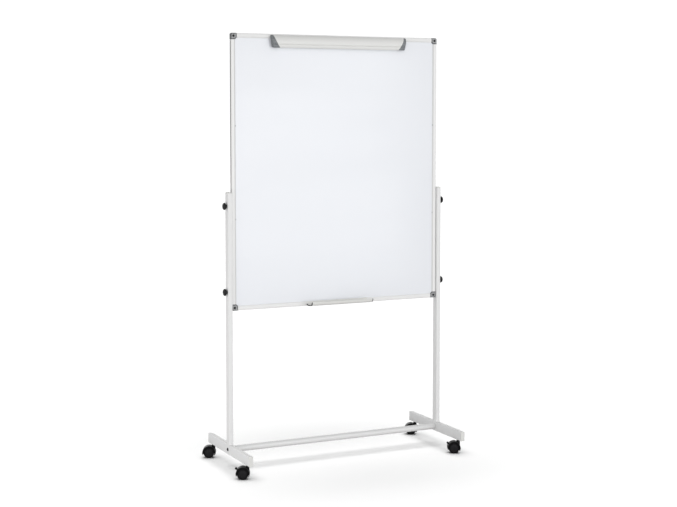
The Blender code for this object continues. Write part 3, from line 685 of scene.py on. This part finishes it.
def corners():
    """Four corner pieces with a round outer corner, a cut-off inner one, a pocket for the panel, a raised
    plate and a screw. The body is painted dark as the shade of its turned rim, and the plate lighter as
    painted light."""
    reach, proud = CORNER - 0.0003, 0.0004
    outline = rounded([(-proud, -proud, 0.0070), (reach, -proud, 0.0008), (reach, RAIL_FACE, 0.0015),
                       (RAIL_FACE, reach, 0.0015), (-proud, reach, 0.0008)], 8)
    following = np.roll(outline, -1, axis=0)
    dense = np.vstack([np.linspace(a, b, 6, endpoint=False) for a, b in zip(outline, following)])
    centre = np.full(2, (CORNER - 0.003) / 2)
    rings = corner_rings(dense, centre)
    face = corner_face_rings(dense, centre)
    pocket = np.array([(0.0087, 0.0087), (0.05, 0.0087), (0.05, 0.05), (0.0087, 0.05)])
    pocket = np.stack([np.insert(pocket, 2, depth, axis=1) for depth in (0.0030, BOARD_DEPTH - 0.0015)])
    for side in SIDES:
        for level in ("bottom", "top"):
            (edge, across), (rim, up) = EDGES[side], EDGES[level]

            def placed(points):
                x, z, back = edge + across * points[..., 0], rim + up * points[..., 1], points[..., 2]
                return np.stack([x, BOARD_FRONT + back, z], axis=-1)
            name = f"{level}_{side}"
            made = piece(name + "_corner_piece", skin(placed(rings)), CORNER_BODY_SHADED, "board",
                         [name + "_corner"])
            cut(made, skin(placed(pocket)))
            plate = skin(placed(face), loop_rows=True)
            piece(name + "_corner_face", plate, CORNER_FACE_LIT, "board")
            spot = placed(np.array([*centre, 0.0]))
            screw = piece(name + "_frame_screw", moved(corner_screw_shape(), None, spot), DARK_STEEL, "board",
                          [name + "_corner_screw"])
            cut(screw, moved(cross_recess_shape(), None, spot))


def corner_face_rings(outline, centre):
    """Raised plate on a corner piece's front as (in, in, back) triples: the outline pulled in to the plate's
    edge and the circle round the screw, joined over a thin wall whose front edges are rounded."""
    edge, hole, low, high, soft = 0.0042, 0.0056, -0.0002, -0.0009, 0.0004
    away = outline - centre
    reach = np.linalg.norm(away, axis=1)[:, None]
    unit = away / reach
    rim, inner = np.maximum(reach - edge, hole + 0.0012), np.full_like(reach, hole)
    steps = [(inner, low), (inner, high + soft), (inner + soft, high), (rim - soft, high), (rim, high + soft),
             (rim, low)]
    return np.stack([np.hstack([centre + unit * r, np.full_like(reach, back)]) for r, back in steps])


def corner_screw_shape():
    """Pan head: flat under, a short rim and a shallow dome, (radius, depth) turned about the screw."""
    dome = arc((0, 0.0062), 0.0070, 212, 270, 9)
    radius = np.abs(dome[:, 0]) * 0.0038 / np.abs(dome[0, 0])
    height = dome[:, 1] - dome[0, 1] + 0.0002
    profile = [(0.0001, 0.0028), (0.0038, 0.0028), (0.0038, 0.0006), *zip(radius, height * 0.32)]
    return turned(profile, "Y", 40)


def cross_recess_shape():
    """Cross-shaped driver recess, narrower at the bottom."""
    arm, half = 0.0020, 0.0006
    quarter = np.array([(half, -arm), (half, -half), (arm, -half)])
    turns = [quarter @ np.array([(math.cos(a), math.sin(a)), (-math.sin(a), math.cos(a))])
             for a in np.radians((0, 90, 180, 270))]
    cross = np.vstack(turns)
    return skin(np.stack([laid(cross * 1.2, -0.004, "Y"), laid(cross * 0.7, 0.0004, "Y")]))


def edge_clips():
    """Five small wedges that hold the panel in the frame, along its inner edge."""
    width, length, rise = 0.0046, 0.0070, 0.0024
    inward = RAIL_FACE - 0.0012
    spots = [(edge + way * inward, BOARD_BOTTOM + up, False)
             for edge, way in (EDGES["left"], EDGES["right"]) for up in (0.397, 0.802)]
    spots.append((STAND_X - 0.002, BOARD_BOTTOM + inward, True))
    for number, (x, z, flat) in enumerate(spots, 1):
        size = (length, width) if flat else (width, length)
        clip = softened_bar(rectangle(*size, 0.0012), SHEET_FRONT - 0.0001, SHEET_FRONT - rise, "Y", 0.0008)
        piece(f"panel_clip_{number}", moved(clip, None, (x, 0, z)), CLIP, "board")


# ---------------------------------------------------------------- paper clamp
HINGE = JOINTS["clamp_open"]["pos_m"]
CLAMP_LEAN = 0.009
CAP_INSETS = (0.012, 0.042)     # of the bar's end from the clamp's end, at the top and at the bottom
CAP_BOW = 0.0030


def clamp_section():
    """Front of the clamp bar as (out, up) from the hinge: over the knuckle, down the swelling front, in
    at the groove, out to the lip, round it and back under to the sheet."""
    bottom, drop = (corner[2] - HINGE[2] for corner in span("clamp_bar"))
    top = arc((0, 0), drop, 140, 62, 14)
    front = bezier(top[-1], (0.0075, 0.0025), (0.0150, -0.0080), (0.0152, -0.0190), 22)
    lower = bezier(front[-1], (0.0153, -0.0250), (0.0146, -0.0297), (0.0136, -0.0330), 8)
    groove = np.array([(0.0120, -0.0336), (0.0117, -0.0344), (0.0120, -0.0353), (0.0134, -0.0360)])
    lip = bezier((0.0139, -0.0366), (0.0136, -0.0410), (0.0124, bottom + 0.0040),
                 (0.0112, bottom + 0.0018), 8)
    under = bezier(lip[-1], (0.0105, bottom + 0.0003), (0.0095, bottom), (0.0080, bottom), 6)
    back = np.array([(0.0010, bottom), (-0.0088, bottom + 0.0025)])
    return np.vstack([top, front[1:], lower[1:], groove, lip, under[1:], back])


def end_plane(way, top_inset, bottom_inset, bow=0.0):
    """X of a clamp end at a height: the inset from the clamp's end goes from top to bottom with the share
    s of the way down, plus a bow of 4 s (1 - s) towards the end."""
    low, high = span("clamp_bar")[0][2], span("clamp_bar")[1][2]
    limit = side_at(f"clamp_{'left' if way < 0 else 'right'}_end_cap", way, 0)

    def position(up):
        share = np.clip((high - up) / (high - low), 0, 1)
        inset = top_inset + (bottom_inset - top_inset) * share - bow * 4 * share * (1 - share)
        return limit - way * inset
    return position


def clamp():
    """Clamp bar of one wall thickness with slanted ends, and a solid moulded cap on each end."""
    path = clamp_section()
    outline, shell = (line * (-1, 1) + HINGE[1:] for line in (path, wall(path, -0.0018)))
    insets = [inset + 0.0003 for inset in CAP_INSETS]
    rings = [laid(shell, end_plane(way, *insets, CAP_BOW)(shell[:, 1]), "X") for way in (-1, 1)]
    piece("clamp_cover", skin(np.stack(rings)), CLAMP_COVER, "clamp", ["clamp_bar"])
    for side, way in SIDES.items():
        piece(f"clamp_{side}_cap", end_cap_shape(outline, way), GREY, "clamp",
              [f"clamp_{side}_end_cap"])


def end_cap_shape(outline, way):
    """Solid cap: the bar's section from the bar's end to a leaning outer end, where the section shrinks by
    edge (1 - cos a) over a quarter circle so that the end is round."""
    inner, outer = end_plane(way, *CAP_INSETS, CAP_BOW), end_plane(way, 0.0, CLAMP_LEAN)
    edge = 0.0045
    rings = [laid(outline, inner(outline[:, 1]), "X")]
    for angle in np.radians(np.linspace(0, 80, 9)):
        small = drawn_in(outline, edge * (1 - math.cos(angle)))
        rings.append(laid(small, outer(outline[:, 1]) - way * edge * (1 - math.sin(angle)), "X"))
    return skin(np.stack(rings))


# ---------------------------------------------------------------- pen tray
def tray_section():
    """Tray's outer side as (out from the board's front, up from its bottom), hook to front lip."""
    hook = [(-0.0019, 0.0200), (0.00035, 0.0143), (0.00035, 0.0080)]
    scoop = bezier((0.00035, 0.0080), (0.0018, 0.0032), (0.0100, 0.0022), (0.0200, 0.0022), 12)
    rise = bezier((0.0200, 0.0022), (0.0360, 0.0022), (0.0515, 0.0045), (0.0558, 0.0135), 18)
    lip = [(0.0570, 0.0212)]
    return np.vstack([hook, scoop[1:], rise[1:], lip])


def tray():
    """Open-ended tray with a rounded lip, and a thin dark trim on each end."""
    path = tray_section()
    thick, trim = 0.0016, 0.0034
    low, high = span("pen_tray")

    def placed(outline):
        return outline * (-1, 1) + (BOARD_FRONT, BOARD_BOTTOM)
    piece("pen_tray_body", bar(placed(wall(path, thick)), low[0] + trim, high[0] - trim, "X"), WHITE, "tray",
          ["pen_tray"], bevel=0.0003)
    rim = np.vstack([path[2:], offset(path, thick + 0.0016)[2:][::-1]])
    for side, start, end in (("left", low[0], low[0] + trim), ("right", high[0] - trim, high[0])):
        piece(f"pen_tray_{side}_trim", bar(placed(rim), start, end, "X"), DARK_TRIM, "tray",
              bevel=0.0002)


# ---------------------------------------------------------------- stand
TUBE_ROUND = 0.0032             # radius of the rectangular tubes' corners


def feet():
    """Floor tubes with push-in end caps."""
    outline = rectangle(FOOT_HIGH[0] - FOOT_LOW[0], FOOT_HIGH[2] - FOOT_LOW[2], TUBE_ROUND, 8)
    for side in SIDES:
        foot = side + "_foot"
        low, high = span(foot)
        place = outline + middle(foot)[[0, 2]]
        piece(foot + "_tube", bar(place, low[1], high[1], "Y"), COAT, "stand", [foot],
              bevel=0.0004)
        for end, way in ENDS.items():
            tip = side_at(f"{foot}_{end}_cap", way, 1)
            cap = softened_bar(place, side_at(foot, way, 1), tip, "Y", 0.0016, 4)
            piece(f"{foot}_{end}_plug", cap, WHITE, "stand", [f"{foot}_{end}_cap"])


def posts():
    """Upright tubes with a domed cap on top and the weld at the foot."""
    outline = rectangle(*(POST_HIGH - POST_LOW)[:2], TUBE_ROUND, 8)
    for side in SIDES:
        low, high = span(side + "_post")
        centre = (low + high) / 2
        place = outline + centre[:2]
        piece(side + "_post_tube", bar(place, low[2], high[2], "Z"), COAT, "stand",
              [side + "_post"], bevel=0.0003)
        piece(side + "_post_weld", weld_shape(outline, centre, low[2]), COAT, "stand")
        top = span(side + "_post_cap")[1][2]
        angle = np.radians(np.linspace(0, 84, 9))
        rise = high[2] + 0.0008 + (top - high[2] - 0.0008) * np.sin(angle)
        shrink = 1 - 0.55 * (1 - np.cos(angle))
        rings = [laid(place, high[2], "Z")]
        rings += [laid(centre[:2] + outline * s, z, "Z") for s, z in zip(shrink, rise)]
        piece(side + "_post_top", skin(np.stack(rings)), WHITE, "stand",
              [side + "_post_cap"])


def weld_shape(outline, centre, height):
    """Weld bead round the post's base. Along the outward normal n it runs from the post to the foot: in
    front and behind it is a hollow fillet on the foot's top, at the sides it fills the foot's round edge."""
    nearest = np.roll(outline, -1, axis=0) - np.roll(outline, 1, axis=0)
    normal = np.stack([nearest[:, 1], -nearest[:, 0]], axis=1)
    normal /= np.linalg.norm(normal, axis=1)[:, None]
    forward = normal[:, 1:] ** 2
    rings = []
    for t in np.linspace(0, 1, 7):
        swell = 1 - math.cos(t * math.pi / 2)
        out = 0.0001 + (0.0002 + 0.0052 * forward) * swell
        up = 0.0046 * (1 - math.sin(t * math.pi / 2)) - 0.0030 * (1 - forward) * t
        rings.append(np.hstack([outline + normal * out, up]))
    rings.append(np.hstack([outline * 0.9, rings[-1][:, 2:] - 0.0002]))
    rings.insert(0, np.hstack([outline * 0.9, np.full((len(outline), 1), 0.0046)]))
    return skin(np.stack(rings) + (*centre[:2], height))


def crossbar():
    """Round tube between the feet and the button-head bolts that hold it."""
    low, high = span("crossbar")
    radius = (high[2] - low[2]) / 2
    centre = (low + high) / 2
    ring = arc((centre[1], centre[2]), radius, 0, 360, 65)[:-1]
    piece("crossbar_tube", bar(ring, low[0], high[0], "X"), COAT, "stand", ["crossbar"],
          bevel=0.0005)
    for side, way in SIDES.items():
        face = side_at(side + "_foot", way, 0)
        length = abs(side_at(side + "_crossbar_bolt", way, 0) - face)
        profile = [(0.0001, 0), (0.0075, 0), (0.0074, 0.0006), *dome(0.0074, length - 0.0006, 8, 0.0006)]
        profile += [(0.0024, length), (0.0024, length - 0.0020), (0.0001, length - 0.0020)]
        head = turned([(r, way * h) for r, h in profile], "X", 48)
        piece(side + "_bolt_head", moved(head, None, (face, *centre[1:])), DARK_STEEL, "stand",
              [side + "_crossbar_bolt"])


def dome(radius, height, count, start=0.0):
    """(radius, height) points of a quarter ellipse from the rim up towards the middle."""
    angle = np.radians(np.linspace(8, 66, count))
    return zip(radius * np.cos(angle), start + height * np.sin(angle) / math.sin(angle[-1]))


# ---------------------------------------------------------------- castors
def castor_frame(name):
    """Axle centre and the 3 by 3 matrix of a castor: X from the axle to the stem, Y along the axle."""
    near = np.array(JOINTS[name + "_near_roll"]["pos_m"])
    along = np.array(JOINTS[name + "_near_roll"]["axis"])
    ahead = np.array([along[1], -along[0], 0.0])
    return near, np.stack([ahead, along, [0, 0, 1]], axis=1)


WHEEL_RADIUS = JOINTS["front_left_near_roll"]["pos_m"][2]
TRAIL = np.linalg.norm((middle("front_left_castor_stem") - JOINTS["front_left_near_roll"]["pos_m"])[:2])
HOOD_WIDTH, HOOD_OUTER, HOOD_INNER = 0.0380, 0.0298, 0.0263
WHEEL_IN, WHEEL_OUT = 0.0081, 0.0185
LUG_ANGLE, LUG_PIVOT = math.radians(143), 0.0250
PIN_REACH = 0.0170              # half the length of the axle pin


def hood_arch():
    """Arch over the wheels: a rounded cross-section of (across, radial) pairs carried round the axle, lower
    on the stem's side, thinning to a round tip over the last few degrees."""
    thick = HOOD_OUTER - HOOD_INNER
    section = rectangle(HOOD_WIDTH, thick, 0.0013, 5)
    low, high = -26, 198
    angles = np.radians(np.concatenate([np.linspace(low, low + 3, 5), np.linspace(low + 6, high - 6, 54),
                                        np.linspace(high - 3, high, 5)]))
    tip = np.radians(3)
    share = np.clip(np.minimum(angles - angles[0], angles[-1] - angles) / tip, 0, 1)
    scale = 0.35 + 0.65 * np.sqrt(1 - (1 - share) ** 2)
    across = section[None, :, 0] * (0.97 + 0.03 * scale[:, None])
    radial = (HOOD_OUTER + HOOD_INNER) / 2 + section[None, :, 1] * scale[:, None]
    x, z = radial * np.cos(angles)[:, None], radial * np.sin(angles)[:, None]
    return skin(np.stack([x, across, z], axis=-1))


def hood_web():
    """Web between the wheels, a rounded half disc, and the upright housing of the stem beside it."""
    half = WHEEL_IN - 0.0005
    web = softened_bar(arc((0, 0), HOOD_OUTER - 0.0010, -14, 194, 40), -half, half, "Y", 0.0008)
    block = rounded([(TRAIL - 0.0080, -0.0055, 0.002), (TRAIL + 0.0074, -0.0055, 0.003),
                     (TRAIL + 0.0076, 0.0320, 0.003), (TRAIL - 0.0080, 0.0320, 0.003)])
    housing = softened_bar(block, -half, half, "Y", 0.0022, 4)
    profile = [(0.0001, 0.020), (0.0076, 0.020), (0.0076, 0.0332), (0.0068, 0.0345), (0.0001, 0.0345)]
    collar = moved(turned(softened(profile, 0.0006), steps=40), None, (TRAIL, 0, 0))
    return [web, housing, collar]


def wheel_shapes(way):
    """Tyre and hub cover of one wheel as (radius, along the axle) profiles turned about the axle."""
    width = WHEEL_OUT - WHEEL_IN
    tread = softened([(0.0172, 0.0003), (WHEEL_RADIUS - 0.0008, 0.0003), (WHEEL_RADIUS, 0.0016),
                      (WHEEL_RADIUS, width - 0.0034), (WHEEL_RADIUS - 0.0026, width - 0.0004),
                      (0.0192, width), (0.0185, width - 0.0010), (0.0172, width - 0.0010)], 0.0008)
    tyre = turned(tread, "Y", 72, loop=True)
    cover = softened([(0.0043, 0.0004), (0.0171, 0.0004), (0.0171, width - 0.0013), (0.0160, width - 0.0020),
                      (0.0085, width - 0.0010), (0.0078, width + 0.0002), (0.0043, width + 0.0002)], 0.0006)
    hub = turned(cover, "Y", 72, loop=True)
    clear = PIN_REACH + 0.0003 - WHEEL_IN
    cap = turned(softened([(0.0001, clear), (0.0043, clear), (0.0043, width - 0.0002),
                           (0.0034, width + 0.0004), (0.0001, width + 0.0006)], 0.0003), "Y", 32)
    rib = softened_bar(rectangle(0.0072, 0.0016, 0.0006, 3), width - 0.0030, width - 0.0006, "Y", 0.0004)
    rib = moved(rib, None, (0.0124, 0, 0))
    ribs = [moved(rib, turn_up(math.radians(angle))) for angle in range(15, 375, 60)]
    flip, shift = np.diag([1, way, 1]), (0, way * WHEEL_IN, 0)
    return [moved(shape, flip, shift) for shape in (tyre, joined([hub, cap, *ribs]))]


def brake_lever():
    """Foot lever in the arch's slot: a thin neck that ends in a thick, round pedal edge."""
    reach = 0.0405 - LUG_PIVOT
    bulb = 0.0046
    neck = np.array([(-0.0030, 0.0026), (0.0040, 0.0020), (reach - 2 * bulb, 0.0019)])
    head = arc((reach - bulb, 0), bulb, 150, -150, 25)
    arm = np.vstack([neck, head, neck[::-1] * [1, -1]])[::-1]
    lever = softened_bar(arm, -0.0058, 0.0058, "Y", 0.0012, 4)
    spot = (LUG_PIVOT * math.cos(LUG_ANGLE), 0, LUG_PIVOT * math.sin(LUG_ANGLE))
    return moved(lever, turn_up(LUG_ANGLE), spot)


def castors():
    """Four twin-wheel castors on zinc stems."""
    seat = FOOT_LOW[2]
    pin = turned(softened([(0.0001, -PIN_REACH), (0.0040, -PIN_REACH), (0.0040, PIN_REACH),
                           (0.0001, PIN_REACH)], 0.0004), "Y", 32)
    for end in ENDS:
        for side in SIDES:
            name = f"{end}_{side}"
            axle, matrix = castor_frame(name)
            low, high = span(name + "_castor_stem")
            profile = [(0.0001, low[2]), (0.0040, low[2]), (0.0040, seat - 0.0016), (0.0070, seat - 0.0016),
                       (0.0070, seat - 0.0002), (0.0050, seat - 0.0002), (0.0050, high[2]), (0.0001, high[2])]
            stem = moved(turned(profile, steps=36), None, (low + high) / 2 * (1, 1, 0))
            piece(name + "_stem", stem, ZINC, "stand", [name + "_castor_stem"])
            hood = moved(joined([hood_arch(), *hood_web(), pin]), matrix, axle)
            piece(name + "_hood", hood, BLACK, name + "_castor", [name + "_castor_hood"])
            for label, way in (("near", -1), ("far", 1)):
                tyre, hub = wheel_shapes(way)
                body = f"{name}_{label}_wheel"
                piece(f"{name}_{label}_tyre", moved(tyre, matrix, axle), TYRE, body,
                      [f"{name}_castor_{label}_wheel"])
                piece(f"{name}_{label}_hub", moved(hub, matrix, axle), HUB, body)
            if end == "front":
                piece(name + "_brake_lever", moved(brake_lever(), matrix, axle), BLACK, name + "_brake",
                      [name + "_castor_brake"])


# ---------------------------------------------------------------- hand knobs
def knobs():
    """Fluted mushroom knobs with a steel stud, a collar on the post and a round insert in the face."""
    for side, way in SIDES.items():
        for level in ("lower", "upper"):
            name = f"{side}_{level}_knob"
            low, high = span(name)
            face = side_at(side + "_post", way, 0) + way * 0.0003
            length = abs(side_at(name, way, 0) - face)
            radius = (high[2] - low[2]) / 2
            spot = (face, *middle(name)[1:])
            neck = softened([(0.0001, 0), (0.0078, 0), (0.0070, 0.0030), (0.0080, 0.0062),
                             (0.0001, 0.0062)], 0.0008)
            wide = radius * 0.985
            grip = softened([(0.0001, 0.0052), (radius * 0.80, 0.0052), (wide, 0.0068), (wide, 0.0112),
                             (radius * 0.86, length - 0.0016), (radius * 0.52, length - 0.0004),
                             (radius * 0.47, length - 0.0012), (0.0001, length - 0.0012)], 0.0009)
            button = softened([(0.0001, length - 0.0022), (0.0068, length - 0.0022),
                               (0.0068, length - 0.0006), (0.0052, length), (0.0001, length)], 0.0005)
            tip = -abs(side_at(name, -way, 0) - face)
            stud = [(0.0001, tip), (0.0026, tip), (0.0030, tip + 0.0006), (0.0030, 0.002), (0.0001, 0.002)]
            handle = joined([turned(neck, "X", 40), turned(grip, "X", 120, lobes=8, depth=0.05)])
            flip = np.diag([way, 1, 1])
            piece(f"{side}_{level}_grip", moved(handle, flip, spot), KNOB, name, [name])
            piece(f"{side}_{level}_grip_insert", moved(turned(button, "X", 40), flip, spot), HUB, name)
            piece(f"{side}_{level}_stud", moved(turned(stud, "X", 24), flip, spot), ZINC, name)


# ---------------------------------------------------------------- studio
FRONT_LIGHT = 1.50              # brightness of the room in front and behind; the next two are shares of it
SIDE_LIGHT = 0.45
TOP_LIGHT = 0.22
SWEEP = 40.0                    # half the width of the floor
SUN_WIDTH, SUN_STRENGTH, SUN_TILT = math.radians(72), 9.8, math.radians(-2)
# name, place, aim, width and watts
LAMPS = (("key", (1.8, -4.6, 1.1), (-0.1, 0, 0.7), 2.0, 38),
         ("near_left", (-1.9, -0.5, 0.40), (-0.5, 0, 0.2), 0.7, 6.5))


def look(at_point, target):
    """Rotation of a camera or light at a point so that it looks at the target."""
    return (Vector(target) - Vector(at_point)).to_track_quat("-Z", "Y").to_euler()


def studio():
    """White sweep, bright surroundings, two soft lamps that light the object only and a wide sun overhead
    that lights the floor only."""
    bpy.context.scene.view_settings.view_transform = "Standard"
    points = [(x * SWEEP, y * SWEEP, 0) for x, y in ((-1, -1), (1, -1), (1, 1), (-1, 1))]
    data = bpy.data.meshes.new("floor")
    data.from_pydata(points, [], [[0, 1, 2, 3]])
    floor = bpy.data.objects.new("floor", data)
    bpy.context.scene.collection.objects.link(floor)
    data.materials.append(studio_floor())

    bpy.context.scene.world = surroundings()
    floor_only = bpy.data.collections.new("floor_only")
    all_but_floor = bpy.data.collections.new("all_but_floor")
    for group_used, state in ((floor_only, "INCLUDE"), (all_but_floor, "EXCLUDE")):
        group_used.objects.link(floor)
        group_used.collection_objects[0].light_linking.link_state = state
    for name, spot, target, width, watts in LAMPS:
        data = bpy.data.lights.new(name, "AREA")
        data.size, data.energy = width, watts
        light = bpy.data.objects.new(name, data)
        light.location, light.rotation_euler = spot, look(spot, target)
        light.light_linking.receiver_collection = all_but_floor
        bpy.context.scene.collection.objects.link(light)

    data = bpy.data.lights.new("overhead", "SUN")
    data.angle, data.energy = SUN_WIDTH, SUN_STRENGTH
    light = bpy.data.objects.new("overhead", data)
    light.rotation_euler = (SUN_TILT, 0, 0)
    bpy.context.scene.collection.objects.link(light)
    light.light_linking.receiver_collection = floor_only


def surroundings():
    """Bright room in front and behind, darker to the sides and overhead, so that the white tubes keep a
    visible edge; seen directly it is plain white."""
    world = bpy.data.worlds.new("studio")
    world.use_nodes = True
    tree = world.node_tree
    background = tree.nodes["Background"]
    background.inputs["Color"].default_value = (1, 1, 1, 1)
    way = node(tree, "SeparateXYZ", {0: node(tree, "TexCoord").outputs["Generated"]})
    sideways = ramp(tree, sums(tree, "ABSOLUTE", way.outputs["X"]), 0.25, 0.9, 1.0, SIDE_LIGHT)
    overhead = ramp(tree, way.outputs["Z"], 0.30, 0.85, 1.0, TOP_LIGHT)
    level = times(tree, times(tree, sideways, overhead), FRONT_LIGHT)
    seen = node(tree, "LightPath").outputs["Is Camera Ray"]
    tree.links.new(ramp(tree, seen, 0.0, 1.0, level, 1.05), background.inputs["Strength"])
    return world


def camera():
    """Camera at the height and to the left from which the board is seen at an angle."""
    data = bpy.data.cameras.new("camera")
    data.sensor_width, data.lens, data.shift_x, data.shift_y = 36.0, 72.610, 0.0, -0.0684
    data.clip_start, data.clip_end = 0.1, 200
    made = bpy.data.objects.new("camera", data)
    yaw, pitch = math.radians(25.851), math.radians(3.944)
    made.location = (-2.6443, -5.5036, 1.5499)
    made.rotation_euler = (math.pi / 2 - pitch, 0, -yaw)
    bpy.context.scene.collection.objects.link(made)
    bpy.context.scene.camera = made


rails()
corners()
edge_clips()
clamp()
tray()
feet()
posts()
crossbar()
castors()
knobs()
dress_carried_nodes()
studio()
camera()

bpy.context.view_layer.update()
